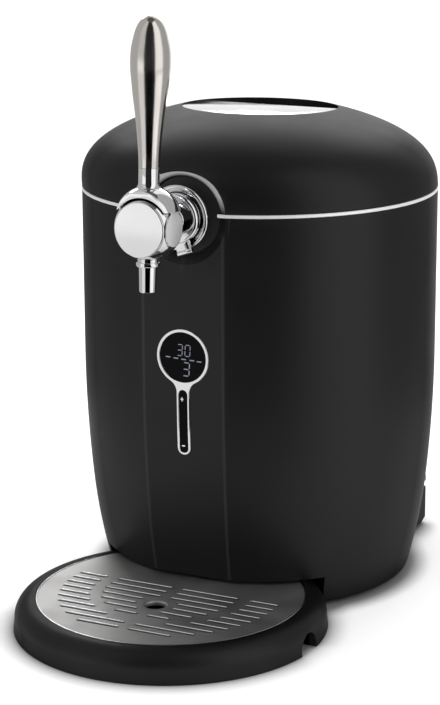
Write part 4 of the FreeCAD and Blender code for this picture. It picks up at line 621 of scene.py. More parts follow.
lid = piece("lid", lid_mesh(), soft_black)
hollow = piece("hollow", inner_dome_mesh())
cup_outline = slug(DISH_R + DISH_WALL, DISH_FLOOR_Z - DISH_WALL, ABOVE_Z)
cup = piece("cup", lathe(cup_outline, (0, AXIS_Y, 0), segments=ROUND_STEPS))
carved(hollow, [cup, recess_boss(FRONT_Y - 0.01, 0.30, ABOVE_Z)])
dish_outline = slug(DISH_R, DISH_FLOOR_Z, ABOVE_Z)
dish = piece("dish", lathe(dish_outline, (0, AXIS_Y, 0), segments=ROUND_STEPS))
carved(lid, [hollow, dish, recess_cutter(), hinge_notch(0.28, LID_NOTCH_TOP_Z)])
# The painted highlight goes on the faces of the recess's bevel: silver high up, painted dark
# towards the seam and the recess wall.
lid.data.materials.append(painted_bevel_highlight())
for face in lid.data.polygons:
    x, y, z = face.center
    out = math.hypot(x, z - TAP_Z)
    cone_r = RECESS_R + BEVEL_SLOPE * (FRONT_Y + RECESS_BEVEL_DEPTH - y)
    faces_axis = face.normal.x * x + face.normal.z * (z - TAP_Z) < INWARD * out
    if faces_axis and out > RECESS_R + 0.0002 and abs(out - cone_r) < 0.0003:
        face.material_index = 1
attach(lid, "lid")
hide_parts("lid_shell")


# ---------------------------------------------------------------- grip plate
# A polished D-shaped plate closes the front of the dish; fingers go in behind its straight edge.
# It is one pressing with a short wall at the front that stands in the dish.
GRIP_CHORD_Y = 0.019
GRIP_PLATE_Z = 0.355
GRIP_PLATE_RISE = 0.002
GRIP_CROWN_Z = 0.3588
GRIP_CROWN_RISE = 0.003
GRIP_PLATE_T = 0.0022
GRIP_WALL_T = 0.014
GRIP_NOTCH_HALF_W = 0.016
GRIP_NOTCH_DEEP = 0.0022
GRIP_EDGE = 0.0003

brushed = bright_metal(
    "polished_plate", (0.76, 0.76, 0.77), roughness=0.12, spread=0.06, stretch=(0.04, 1, 1),
    scale=2600.0, bump=0.10,
)


def drawn_out(rings):
    """A solid drawn out between two like outlines."""
    mesh = skin("drawn_out", rings)
    with reworked(mesh) as shape:
        bmesh.ops.holes_fill(shape, edges=shape.edges, sides=0)
    return mesh


def prism(outline, low_x, high_x):
    """A side outline of (y, z) points drawn out along X."""
    return drawn_out([[Vector((x, y, z)) for y, z in outline] for x in (low_x, high_x)])


def evened(thing):
    """Let the large flat faces of a piece set the shading at their edges."""
    modifier = thing.modifiers.new("even", "WEIGHTED_NORMAL")
    modifier.weight = 100
    modifier.keep_sharp = True
    return applied(thing)


def rounded(thing, width, segments=2, angle=30.0):
    """Break the sharp corners of a piece."""
    modifier = thing.modifiers.new("round", "BEVEL")
    modifier.width = width
    modifier.segments = segments
    modifier.limit_method = "ANGLE"
    modifier.angle_limit = math.radians(angle)
    return shaded(applied(thing))


def grip_plate_piece():
    """The D-shaped plate: a side outline kept inside the dish, with a finger notch in front."""
    front = AXIS_Y - DISH_R
    back = AXIS_Y + GRIP_CHORD_Y
    outside = front - 0.001
    wall = front + GRIP_WALL_T
    under = GRIP_PLATE_Z - GRIP_PLATE_T
    outline = [
        (outside, GRIP_CROWN_Z + GRIP_CROWN_RISE), (back, GRIP_CROWN_Z), (back, under),
        (wall, under + GRIP_PLATE_RISE), (wall, DISH_FLOOR_Z), (outside, DISH_FLOOR_Z),
    ]
    thing = piece("grip_plate", prism(outline, -0.1, 0.1), brushed)
    disc = lathe(slug(DISH_R - FIT, 0.33, 0.37), (0, AXIS_Y, 0), segments=ROUND_STEPS)
    common(thing, piece("disc", disc))
    notch_low = (-GRIP_NOTCH_HALF_W, outside, GRIP_PLATE_Z - 0.002)
    notch_high = (GRIP_NOTCH_HALF_W, front + GRIP_NOTCH_DEEP, ABOVE_Z)
    carved(thing, [block("notch", notch_low, notch_high)])
    return rounded(thing, GRIP_EDGE)


grip_plate = grip_plate_piece()
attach(grip_plate, "lid")
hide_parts("lid_grip_plate")


# ---------------------------------------------------------------- tap socket and flange
# The dark floor of the recess carries the tap.  A dished chrome escutcheon lies on it round the
# stem, with a beaded rim.
SOCKET_Y = FRONT_Y + RECESS_DEPTH - 0.004
FLANGE_FRONT_Y = AXIS_Y - 0.1386
FLANGE_R = 0.0235
FLANGE_DISH = 0.0044
FLANGE_BEAD = 0.0016
FLANGE_WELL_R = 0.0168
FLANGE_BOSS_R = 0.013
STEM_R = 0.012
STEM_TAIL_R = 0.009
RUN = 0.00006
LATHE_STEPS = 160


def arc(centre, radius, start, end, steps=6):
    """Points of a circle's arc in an outline, angles in degrees."""
    x, y = centre
    turns = [math.radians(start + (end - start) * i / steps) for i in range(steps + 1)]
    return [(x + radius * math.cos(turn), y + radius * math.sin(turn)) for turn in turns]


def flange_outline():
    """Half section: a well round the stem, a slope up to the beaded rim and a hollow back."""
    front, bead = FLANGE_FRONT_Y, FLANGE_BEAD
    bore, well = STEM_TAIL_R + RUN, FLANGE_FRONT_Y + FLANGE_DISH
    slope = [
        (FLANGE_WELL_R, well), (FLANGE_WELL_R + 0.0006, well - 0.0003),
        (FLANGE_WELL_R + 0.0018, front + 0.0022), (FLANGE_WELL_R + 0.0024, front + 0.0014),
    ]
    rim = arc((FLANGE_R - bead, front + bead), bead, -150, 0, 12)
    back = [
        (FLANGE_R, front + 0.003), (FLANGE_R - 0.0015, front + 0.0042),
        (FLANGE_BOSS_R, front + 0.007), (FLANGE_BOSS_R, SOCKET_Y),
    ]
    return [(bore, SOCKET_Y), (bore, well)] + slope + rim + back


def tap_turned(name, outline, material=chrome):
    """A ring turned about the tap's axis."""
    return piece(name, lathe(outline, (0, 0, TAP_Z), "Y", LATHE_STEPS, closed=True), material)


flange = tap_turned("tap_escutcheon", flange_outline())
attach(flange, "cabinet")
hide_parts("tap_flange")


# ---------------------------------------------------------------- lock ring
# A quarter-turn ring clamps the tap in its socket.  Its flat thumb lug ends in a rounded bead.
# Both are one chromed casting.
LOCK_R = 0.0182
LOCK_W = 0.009
LOCK_Y = FLANGE_FRONT_Y + FLANGE_DISH - FIT - LOCK_W
LUG_DROP = 0.0245
LUG_W = 0.012
LUG_T = 0.0036
LUG_BEAD = 0.0018
LUG_TURN = -19.0
LOCK_ROUND = 0.0024
LOCK_BACK_ROUND = 0.0022
LUG_EDGE = 0.0006


def lock_outline():
    """Half section of the ring, rounded at both outer edges."""
    inner, front, back = STEM_R + RUN, LOCK_Y, LOCK_Y + LOCK_W
    points = arc((LOCK_R - LOCK_ROUND, front + LOCK_ROUND), LOCK_ROUND, -90, 0, 10)
    low = (LOCK_R - LOCK_BACK_ROUND, back - LOCK_BACK_ROUND)
    points += arc(low, LOCK_BACK_ROUND, 0, 90, 8)
    return [(inner, front)] + points + [(inner, back)]


def lug_mesh(width, thick, length, bead):
    """A flat lug along −Z whose free edge is a rounded bead, centred on its thickness in Y."""
    outline = arc((0.0, -length), bead, -240, 60, 20)
    outline += [(0.5 * thick, -0.004), (-0.5 * thick, -0.004)]
    return prism(outline, -0.5 * width, 0.5 * width)


def lock_ring_piece():
    """The ring with its lug, which is turned about the tap's axis and fused on."""
    thing = tap_turned("lock_collar", lock_outline())
    lug = lug_mesh(LUG_W, LUG_T, LUG_DROP, LUG_BEAD)
    lug_at = Matrix.Translation((0, LOCK_Y + LUG_BEAD + 0.5 * FIT, TAP_Z))
    lug.transform(lug_at @ Matrix.Rotation(math.radians(LUG_TURN), 4, "Y"))
    bore = lathe(slug(STEM_R + RUN + 0.001, -0.1, 0.1), (0, 0, TAP_Z), "Y")
    lug = rounded(piece("lug", lug, chrome), LUG_EDGE, segments=3, angle=50)
    carved(lug, [piece("bore", bore)])
    return shaded(joined(thing, lug))


lock_collar = lock_ring_piece()
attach(lock_collar, "lock")
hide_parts("lock_ring")


# ---------------------------------------------------------------- tap stem
# The chromed shank joins the ball to the socket and carries the beer through its bore.
# It is turned from bar, and its thinner tail goes back through the flange.
BALL_Y = AXIS_Y - 0.181
BALL_Z = 0.299
BALL_R = 0.0232
STEM_SINK = 0.007
STEM_BORE_R = 0.0035
STEM_END_Y = AXIS_Y - 0.102
STEM_TIP_L = 0.011
STEM_TIP_R = 0.006

stem_root_y = BALL_Y + BALL_R - STEM_SINK
stem_step_y = FLANGE_FRONT_Y + FLANGE_DISH
stem_tip_y = STEM_END_Y - STEM_TIP_L
stem = tap_turned("shank", [
    (STEM_BORE_R, stem_root_y), (STEM_R, stem_root_y), (STEM_R, stem_step_y),
    (STEM_TAIL_R, stem_step_y), (STEM_TAIL_R, stem_tip_y), (STEM_TIP_R, stem_tip_y),
    (STEM_TIP_R, STEM_END_Y - 0.003), (0.0048, STEM_END_Y), (STEM_BORE_R, STEM_END_Y),
])
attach(stem, "cabinet")
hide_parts("tap_stem")


# ---------------------------------------------------------------- tap ball and its front cap
# The cast body is a ball with a flat front and flat sides, polished and chromed.
# A thin round cap closes its front; the beer runs through a bore down to the spout.
BALL_FACE = 0.0129
BALL_FLAT = 0.0189
TAP_LEAN = 3.0
CAP_R = 0.0192
CAP_T = 0.0015
CAP_ROUND = 0.001
VALVE_R = 0.007
VALVE_WALL = 0.003
SPOUT_BORE_R = 0.0043
COLLAR_R = 0.0082
COLLAR_TOP = -BALL_R - 0.0006
PIVOT_R = 0.0025
BALL_STEPS = 240
LEANED = Matrix.Translation((0, BALL_Y, BALL_Z)) @ Matrix.Rotation(math.radians(-TAP_LEAN), 4, "X")


def leaned(thing):
    """Move a piece drawn about the ball's centre into place."""
    thing.data.transform(LEANED)
    return thing


def bar(name, radius, low, high, along, segments=96):
    """A round bar about one axis, used to cut and fuse with."""
    return piece(name, lathe(slug(radius, low, high), along=along, segments=segments))


def tap_ball_piece():
    """The ball, cut flat, with a boss for the collar and bores for valve, spout and pivot."""
    outline = arc((0.0, 0.0), BALL_R, -90, 90, 120)
    thing = piece("tap_ball", lathe(outline, along="X", segments=BALL_STEPS), chrome)
    reach = 2 * BALL_R
    common(thing, block("keep", (-BALL_FLAT, -BALL_FACE, -reach), (BALL_FLAT, reach, reach)))
    joined(thing, bar("boss", COLLAR_R - 0.001, COLLAR_TOP, COLLAR_TOP + 0.006, "Z"))
    cutters = [
        bar("valve_bore", VALVE_R, -BALL_FACE + VALVE_WALL, reach, "Y"),
        bar("spout_bore", SPOUT_BORE_R, -BALL_R - 0.001, 0.0, "Z"),
        bar("pivot_bore", PIVOT_R + RUN, -reach, reach, "X"),
    ]
    return leaned(carved(thing, cutters, 20))


tap_ball = tap_ball_piece()
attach(tap_ball, "cabinet")
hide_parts("tap_body")

satin_chrome = bright_metal(
    "satin_chrome", CHROME_TINT, roughness=0.16, spread=0.03, scale=900.0, bump=0.02
)
cap_face = -BALL_FACE - CAP_T
cap_outline = [(0.0, -BALL_FACE), (CAP_R, -BALL_FACE)]
cap_outline += arc((CAP_R - CAP_ROUND, cap_face + CAP_ROUND), CAP_ROUND, 0, -90, 8)
cap_outline += [(0.0, cap_face)]
cap_mesh = lathe(cap_outline, along="Y", segments=BALL_STEPS)
front_cap = leaned(piece("front_disc", cap_mesh, satin_chrome))
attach(front_cap, "cabinet")
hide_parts("tap_front_cap")


# ---------------------------------------------------------------- spout and its collar
# The spout is a chromed tube pressed into the ball's foot.
# A turned collar with rounded edges sits round its root.
SPOUT_R = 0.0063
SPOUT_TIP_R = 0.0058
SPOUT_END = 0.045
SPOUT_EDGE = 0.0005
COLLAR_H = 0.0032
COLLAR_ROUND = 0.0008


def tube(name, outline):
    """A chromed ring turned about the spout's axis."""
    return leaned(piece(name, lathe(outline, segments=LATHE_STEPS, closed=True), chrome))


collar_foot = COLLAR_TOP - COLLAR_H
collar_in = COLLAR_R - COLLAR_ROUND
collar_outline = [(SPOUT_R, COLLAR_TOP)]
collar_outline += arc((collar_in, COLLAR_TOP - COLLAR_ROUND), COLLAR_ROUND, 90, 0, 6)
collar_outline += arc((collar_in, collar_foot + COLLAR_ROUND), COLLAR_ROUND, 0, -90, 6)
collar = tube("spout_ring", collar_outline + [(SPOUT_R, collar_foot)])
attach(collar, "cabinet")
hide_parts("spout_collar")

spout = tube("spout_tube", [
    (SPOUT_BORE_R, COLLAR_TOP), (SPOUT_R, COLLAR_TOP), (SPOUT_R, collar_foot),
    (SPOUT_TIP_R, -SPOUT_END + SPOUT_EDGE), (SPOUT_TIP_R - SPOUT_EDGE, -SPOUT_END),
    (SPOUT_BORE_R, -SPOUT_END),
])
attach(spout, "cabinet")
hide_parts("spout")


# ---------------------------------------------------------------- handle yoke
# One chromed casting: a round neck flares into a bell, cut flat at front and back, that stands
# over the ball.  Two round ears hang from it on the ball's flat sides and take the pivot.
YOKE_GAP = 0.0013
YOKE_DEPTH = 0.0116
BELL_RIM = (0.0219, 0.0125)
BELL_SIDE = (0.0166, 0.0222)
NECK_R = 0.0073
NECK_Z = 0.031
NECK_TOP = 0.041
NECK_FLARE = 0.005
NECK_FLARE_TURN = 48.0
EAR_R = 0.0124
EAR_T = 0.0022
EAR_GAP = 0.0002
EAR_LINK_Y = 0.005
EAR_LINK_T = 0.0010
EAR_DOME = 0.0014
EAR_SKIN = 0.0008
STUD_R = 0.004
STUD_SEAT = 0.01
YOKE_EDGE = 0.0005


def three_point_arc(first, middle, last, steps):
    """Points of the circle's arc through three (radius, height) points."""
    ax, ay = first
    bx, by = middle
    cx, cy = last
    d = 2 * (ax * (by - cy) + bx * (cy - ay) + cx * (ay - by))
    a2, b2, c2 = ax * ax + ay * ay, bx * bx + by * by, cx * cx + cy * cy
    ux = (a2 * (by - cy) + b2 * (cy - ay) + c2 * (ay - by)) / d
    uy = (a2 * (cx - bx) + b2 * (ax - cx) + c2 * (bx - ax)) / d
    start = math.degrees(math.atan2(ay - uy, ax - ux))
    end = math.degrees(math.atan2(cy - uy, cx - ux))
    return arc((ux, uy), math.hypot(ax - ux, ay - uy), start, end, steps)


def bell_outline():
    """Half section of the neck, its flare and the bell down to the rim."""
    flare_at = (NECK_R + NECK_FLARE, NECK_Z)
    flare = arc(flare_at, NECK_FLARE, 180, 180 + NECK_FLARE_TURN, 12)
    side = three_point_arc(flare[-1], BELL_SIDE, BELL_RIM, 24)
    return [(0, NECK_TOP), (NECK_R, NECK_TOP)] + flare + side[1:] + [(0, BELL_RIM[1])]


def ear_mesh(at_x, side):
    """A round ear whose outer face is domed."""
    shoulder = (0.7 * EAR_R, EAR_T - 0.48 * EAR_DOME)
    cap = three_point_arc((EAR_R, EAR_T - EAR_DOME), shoulder, (0, EAR_T), 24)
    outline = [(0, 0), (EAR_R, 0)] + cap
    return lathe([(radius, at_x + side * out) for radius, out in outline], along="X", segments=128)


def yoke_piece():
    """The bell, hollowed over the ball, with its two ears and the holes for pivot and stud."""
    thing = piece("yoke", lathe(bell_outline(), segments=BALL_STEPS), chrome)
    reach = 0.06
    common(thing, block("slab", (-reach, -YOKE_DEPTH, 0), (reach, YOKE_DEPTH, reach)))
    clear = arc((0.0, 0.0), BALL_R + YOKE_GAP, -90, 90, 90)
    carved(thing, [piece("clear", lathe(clear, along="X", segments=BALL_STEPS))])
    inner = BALL_FLAT + EAR_GAP
    for side in (-1, 1):
        joined(thing, piece("ear", ear_mesh(side * inner, side)))
        near, far = sorted((side * inner, side * (inner + EAR_LINK_T)))
        low = (near, -EAR_LINK_Y, EAR_R - EAR_LINK_Y)
        joined(thing, block("link", low, (far, EAR_LINK_Y, BELL_RIM[1] + 0.001)))
    half = inner + EAR_T - EAR_SKIN
    pin_hole = bar("pin_hole", PIVOT_R, -half, half, "X")
    stud_hole = bar("stud_hole", STUD_R, NECK_TOP - STUD_SEAT, 0.1, "Z")
    carved(thing, [pin_hole, stud_hole])
    return leaned(rounded(thing, YOKE_EDGE, segments=3, angle=35))


yoke = yoke_piece()
DISC_TINT = (0.93, 0.93, 0.94)
satin_disc = bright_metal(
    "satin_disc", DISC_TINT, roughness=0.4, spread=0.04, metallic=0.65, scale=500.0, bump=0.03
)
# The domed faces of the two ears are satin.
yoke.data.materials.append(satin_disc)
dome_x = BALL_FLAT + EAR_GAP + EAR_LINK_T - 0.0006
for face in yoke.data.polygons:
    across = math.hypot(face.center.y - BALL_Y, face.center.z - BALL_Z)
    if abs(face.center.x) > dome_x and across < EAR_R - 0.0004:
        face.material_index = 1
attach(yoke, "handle")
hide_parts("handle_yoke")


# ---------------------------------------------------------------- grip
# The grip is turned from steel bar and brushed; it swells towards a rounded point.
# A threaded stud inside holds it on the yoke's neck.
GRIP_R = 0.0138
GRIP_WIDE = 0.114
GRIP_TOP = 0.1446
GRIP_JOINT = 0.00035

turned_steel = bright_metal(
    "turned_steel", (0.78, 0.74, 0.70), roughness=0.15, spread=0.03, stretch=(1, 1, 30),
    scale=420.0, bump=0.06,
)
preset(turned_steel.node_tree.nodes["Principled BSDF"], {"Anisotropic": 0.55})


def smooth_outline(points, steps):
    """A smooth curve through (radius, height) points, as many steps between each pair."""
    curve = bpy.data.curves.new("outline", "CURVE")
    curve.dimensions = "2D"
    spline = curve.splines.new("BEZIER")
    spline.bezier_points.add(len(points) - 1)
    for knot, (radius, height) in zip(spline.bezier_points, points):
        knot.co = (radius, height, 0)
        knot.handle_left_type = knot.handle_right_type = "AUTO"
    spline.resolution_u = steps
    holder = bpy.data.objects.new("outline", curve)
    bpy.context.scene.collection.objects.link(holder)
    mesh = bpy.data.meshes.new_from_object(holder)
    path = [(max(v.co.x, 0.0), v.co.y) for v in mesh.vertices]
    bpy.data.objects.remove(holder)
    return path


def grip_outline():
    """Half section of the grip from its foot on the neck to its tip."""
    knots = [
        (NECK_R, NECK_TOP + GRIP_JOINT), (0.0076, NECK_TOP + 0.009), (0.0096, NECK_TOP + 0.032),
        (0.0126, NECK_TOP + 0.056), (GRIP_R, GRIP_WIDE), (0.0122, GRIP_WIDE + 0.014),
        (0.0076, GRIP_TOP - 0.0046), (0.003, GRIP_TOP - 0.0007), (0.0, GRIP_TOP),
    ]
    foot = [(0, NECK_TOP), (NECK_R - GRIP_JOINT, NECK_TOP)]
    return foot + smooth_outline(knots, 10)


grip = leaned(piece("grip", lathe(grip_outline(), segments=BALL_STEPS), turned_steel))
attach(grip, "handle")
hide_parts("handle_grip")


# ---------------------------------------------------------------- drip tray
# A low round tray stands before the barrel and slides in under it.  It is moulded in the same
# soft black, with a rounded shoulder, a basin under the plate and two finger arches in its skirt.
TRAY_R = 0.1145
TRAY_TOP_Z = 0.0232
TRAY_REAR_Y = AXIS_Y - 0.060
TRAY_WALL = 0.003
TRAY_SHOULDER_R = 0.1015
TRAY_FLOOR_Z = 0.0035
TRAY_SKIRT_HOLLOW = 0.0145
GRID_R = 0.098
GRID_T = 0.0015
GRID_DROP = 0.0006
GRID_LEDGE = 0.0045
ARCH_Y = AXIS_Y - 0.161
ARCH_R = 0.011
ARCH_TOP = 0.014
ARCH_REACH = 0.014
TRAY_EDGE = 0.0004
TRAY_ROOM = 0.3
TRAY_STEPS = 320


def tray_disc(radius, low, high, rear_y, segments=256):
    """A round slab of the tray whose back is cut straight."""
    disc = bar("disc", radius, low, high, "Z", segments)
    disc.data.transform(Matrix.Translation((0, TRAY_Y, 0)))
    front_low = (-TRAY_ROOM, TRAY_Y - TRAY_ROOM, low - 0.01)
    return common(disc, block("keep", front_low, (TRAY_ROOM, rear_y, high + 0.01)))


def tray_piece():
    """The tray: seat for the plate, basin, hollow underside, drip recess and finger arches."""
    low = (TRAY_R - 0.0008, 0.0085)
    middle = (TRAY_R - 0.0036, TRAY_TOP_Z - 0.0054)
    side = three_point_arc(low, middle, (TRAY_SHOULDER_R, TRAY_TOP_Z), 20)
    foot = [(0, 0), (TRAY_R - TRAY_EDGE, 0), (TRAY_R, TRAY_EDGE)]
    outline = foot + side + [(0, TRAY_TOP_Z)]
    thing = piece("tray", lathe(outline, (0, TRAY_Y, 0), segments=TRAY_STEPS), soft_black)
    front_low = (-TRAY_ROOM, -TRAY_ROOM, -0.01)
    common(thing, block("keep", front_low, (TRAY_ROOM, TRAY_REAR_Y, 0.1)))
    seat_z = TRAY_TOP_Z - GRID_DROP - GRID_T
    wall_y = TRAY_REAR_Y - TRAY_WALL
    basin_r = GRID_R - GRID_LEDGE
    under = tray_disc(TRAY_R - 2 * TRAY_WALL, -0.001, TRAY_SKIRT_HOLLOW, wall_y)
    carved(under, [tray_disc(basin_r + TRAY_WALL, -0.002, 0.1, TRAY_REAR_Y + 0.01)])
    cutters = [
        tray_disc(GRID_R + 0.0006, seat_z, 0.1, wall_y),
        tray_disc(basin_r, TRAY_FLOOR_Z, 0.1, wall_y - GRID_LEDGE),
        under,
        tray_disc(basin_r - 0.008, -0.001, TRAY_FLOOR_Z - 0.002, TRAY_REAR_Y - 0.016),
    ]
    arch_z = ARCH_TOP - ARCH_R
    for middle in (-TRAY_R, TRAY_R):
        x0, x1 = middle - ARCH_REACH, middle + ARCH_REACH
        arch = bar("arch", ARCH_R, x0, x1, "X")
        arch.data.transform(Matrix.Translation((0, ARCH_Y, arch_z)))
        gap = block("gap", (x0, ARCH_Y - ARCH_R, -0.001), (x1, ARCH_Y + ARCH_R, arch_z))
        cutters += [arch, gap]
    return carved(thing, cutters)


tray = tray_piece()
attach(tray, "tray")
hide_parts("drip_tray")


# ---------------------------------------------------------------- tray plate
# A round brushed-steel plate lies in the tray with its back cut straight.  Its slots are pierced
# with rolled lips, and the drain is pressed down into a round dimple.
SLOT_W = 0.0024
SLOT_PITCH = 0.00925
SLOT_FIRST = 0.010
SLOT_FIELD_R = 0.082
SLOT_BARE = (0.0315, 0.0225)
SLOT_RIB = 0.004
DRAIN_Y = TRAY_Y - 0.024
DRAIN_R = 0.0082
DRAIN_LAND = 0.007
DIMPLE_R = 0.0092
DIMPLE_ROLL = 0.0018
DIMPLE_DROP = 0.0034
DIMPLE_T = 0.0009
LIP_R = 0.00058
PLATE_EDGE = 0.0003
RIM_STEPS = 200
GRID_TOP = TRAY_TOP_Z - GRID_DROP

tray_steel = bright_metal(
    "brushed_tray_plate", (0.54, 0.535, 0.53), roughness=0.56, spread=0.07, stretch=(0.03, 1, 1),
    scale=2400.0, bump=0.16,
)
lip_steel = bright_metal(
    "rolled_lips", (0.95, 0.95, 0.95), roughness=0.24, spread=0.03, scale=900.0, bump=0.03
)


def chord(radius, offset):
    """Half the chord of a circle at an offset from its centre, or nothing outside it."""
    return math.sqrt(radius ** 2 - offset ** 2) if abs(offset) < radius else 0.0


def slot_spans(y):
    """Where the slots of one row start and end on the right-hand half of the plate."""
    across = y - TRAY_Y
    start = max(SLOT_RIB, chord(DRAIN_R + DRAIN_LAND, y - DRAIN_Y))
    bare_in, bare_out = [chord(SLOT_FIELD_R - bare, across) for bare in SLOT_BARE]
    pairs = [(start, bare_in), (max(bare_out, start), chord(SLOT_FIELD_R, across))]
    return [(x0, x1) for x0, x1 in pairs if x1 > x0 + 3 * SLOT_W]


def slots():
    """Every slot as (lowest x, highest x, y)."""
    found = []
    for row in range(1 + int((SLOT_FIELD_R + SLOT_FIRST) / SLOT_PITCH)):
        y = TRAY_Y + SLOT_FIRST - row * SLOT_PITCH
        for x0, x1 in slot_spans(y):
            found += [(x0, x1, y), (-x1, -x0, y)]
    return found


def slot_loop(x0, x1, y, half, z):
    """Points round a slot with half-round ends."""
    ends = arc((x1 - half, y), half, -90, 90, 8) + arc((x0 + half, y), half, 90, 270, 8)
    return [(*point, z) for point in ends]


def slot_tools():
    """One mesh of all the slots as tools through the plate."""
    verts, faces = [], []
    for x0, x1, y in slots():
        first = len(verts)
        low, high = [slot_loop(x0, x1, y, SLOT_W / 2, GRID_TOP + z) for z in (-0.01, 0.01)]
        count = len(low)
        verts += low + high
        faces.append(tuple(range(first + count - 1, first - 1, -1)))
        faces.append(tuple(range(first + count, first + 2 * count)))
        for i in range(count):
            a, b = first + i, first + (i + 1) % count
            faces.append((a, b, b + count, a + count))
    mesh = bpy.data.meshes.new("slot_tools")
    mesh.from_pydata(verts, [], faces)
    return mesh


def plate_piece():
    """The round plate, cut straight at the back, pierced with its slots and drain."""
    rear = TRAY_REAR_Y - TRAY_WALL - 2 * FIT
    thing = tray_disc(GRID_R, GRID_TOP - GRID_T, GRID_TOP, rear, TRAY_STEPS)
    thing.name = "tray_plate"
    thing.data.materials.clear()
    thing.data.materials.append(tray_steel)
    rounded(thing, PLATE_EDGE, angle=40)
    drain = bar("drain", DIMPLE_R, -0.1, 0.1, "Z")
    drain.data.transform(Matrix.Translation((0, DRAIN_Y, 0)))
    carved(thing, [piece("slots", slot_tools()), drain])
    return thing


def dimple_mesh():
    """The pressed drain: the plate rolls down into a short round throat."""
    roll_z, foot_z = GRID_TOP - DIMPLE_ROLL, GRID_TOP - DIMPLE_DROP
    throat = DIMPLE_R - DIMPLE_ROLL
    outer = throat + DIMPLE_T
    roll = arc((DIMPLE_R, roll_z), DIMPLE_ROLL, 90, 180, 10)
    under = [(throat, foot_z), (outer, foot_z), (outer, roll_z - 0.0004)]
    outline = roll + under + [(DIMPLE_R, GRID_TOP - GRID_T)]
    return lathe(outline, (0, DRAIN_Y, 0), closed=True)


def lip_tree():
    """Sweeps a round lip along the slots' outlines and gives it its finish."""
    tree, start, end = fresh_group(
        "rolled_lips", "GeometryNodeTree",
        {"Outlines": "Geometry", "Lip Radius": "Float", "Finish": "Material"}, {"Lips": "Geometry"},
    )
    path = added(tree, "GeometryNodeMeshToCurve")
    ring = added(tree, "GeometryNodeCurvePrimitiveCircle", {"Resolution": 8})
    sweep = added(tree, "GeometryNodeCurveToMesh")
    real = added(tree, "GeometryNodeRealizeInstances")
    coat = added(tree, "GeometryNodeSetMaterial")
    wired(
        tree,
        (start, "Outlines", path, "Mesh"), (start, "Lip Radius", ring, "Radius"),
        (path, "Curve", sweep, "Curve"), (ring, "Curve", sweep, "Profile Curve"),
        (sweep, "Mesh", real, "Geometry"), (real, "Geometry", coat, "Geometry"),
        (start, "Finish", coat, "Material"), (coat, "Geometry", end, "Lips"),
    )
    return tree


def grown(name, mesh, tree, values, smooth_angle=60.0):
    """Run a node tree on a mesh and keep the plain mesh that it makes."""
    thing = bpy.data.objects.new(name, mesh)
    bpy.context.scene.collection.objects.link(thing)
    modifier = thing.modifiers.new("made", "NODES")
    modifier.node_group = tree
    sockets = {item.name: item.identifier for item in tree.interface.items_tree}
    for socket, value in values.items():
        modifier[sockets[socket]] = value
    made = applied(thing).data
    bpy.data.objects.remove(thing)
    return piece(name, made, made.materials[0], smooth_angle)


def lip_paths():
    """The far half of every slot, and the rim of the plate."""
    half = SLOT_W / 2 + 0.0002
    paths = []
    for x0, x1, y in slots():
        bend = arc((x1 - half, y), half, 0, 90, 6) + arc((x0 + half, y), half, 90, 180, 6)
        paths.append([(*point, GRID_TOP) for point in bend])
    rim = GRID_R - 0.0004
    lean = math.degrees(math.asin((TRAY_REAR_Y - TRAY_WALL - 0.004 - TRAY_Y) / rim))
    bend = arc((0, TRAY_Y), rim, 180 - lean, 360 + lean, RIM_STEPS)
    paths.append([(*point, GRID_TOP - 0.0001) for point in bend])
    verts, edges = [], []
    for path in paths:
        edges += [(len(verts) + i, len(verts) + i + 1) for i in range(len(path) - 1)]
        verts += path
    mesh = bpy.data.meshes.new("lip_paths")
    mesh.from_pydata(verts, edges, [])
    return mesh


tray_plate = plate_piece()
joined(tray_plate, piece("dimple", dimple_mesh()))
evened(shaded(tray_plate, 35))
lip_values = {"Lip Radius": LIP_R, "Finish": lip_steel}
slot_lips = grown("slot_lips", lip_paths(), lip_tree(), lip_values)
for thing in (tray_plate, slot_lips):
    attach(thing, "tray")
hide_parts("drip_grid")


# ---------------------------------------------------------------- display and touch strip
# A bright keyhole-shaped bezel is let into the flat strip.  Its round head frames a black glass
# with lit digits, and its stem frames a narrow glass with two lit touch marks.
DISPLAY_Z = 0.1951
BEZEL_R = 0.0208
BEZEL_W = 0.0023
BEZEL_PROUD = 0.0007
BEZEL_DEPTH = 0.0020
BEZEL_EDGE = 0.00045
PILL_HALF_W = 0.0052
PILL_END_Z = 0.1216
PILL_FLARE = 0.009
TOUCH_WALL = 0.0018
TOUCH_TOP = 0.0244
GLYPH_T = 0.0001
STEM_ROWS = 12


def keyhole_outline():
    """(x, z) points round the bezel: head, flared neck and round-ended stem."""
    reach = BEZEL_R + PILL_FLARE
    aside = PILL_HALF_W + PILL_FLARE
    drop = math.sqrt(reach ** 2 - aside ** 2)
    lean = math.degrees(math.atan2(drop, aside))
    neck_z = DISPLAY_Z - drop
    end_z = PILL_END_Z + PILL_HALF_W
    stem = [(neck_z - end_z) * i / STEM_ROWS for i in range(1, STEM_ROWS)]
    points = arc((0, DISPLAY_Z), BEZEL_R, -lean, 180 + lean, 96)
    points += arc((-aside, neck_z), PILL_FLARE, lean, 0, 10)[1:]
    points += [(-PILL_HALF_W, neck_z - part) for part in stem]
    points += arc((0, end_z), PILL_HALF_W, 180, 360, 32)
    points += [(PILL_HALF_W, end_z + part) for part in stem]
    points += arc((aside, neck_z), PILL_FLARE, 180, 180 - lean, 10)[:-1]
    return points


def front_plate(outline, low_y, high_y):
    """An (x, z) outline drawn out along Y."""
    return drawn_out([[Vector((x, y, z)) for x, z in outline] for y in (low_y, high_y)])


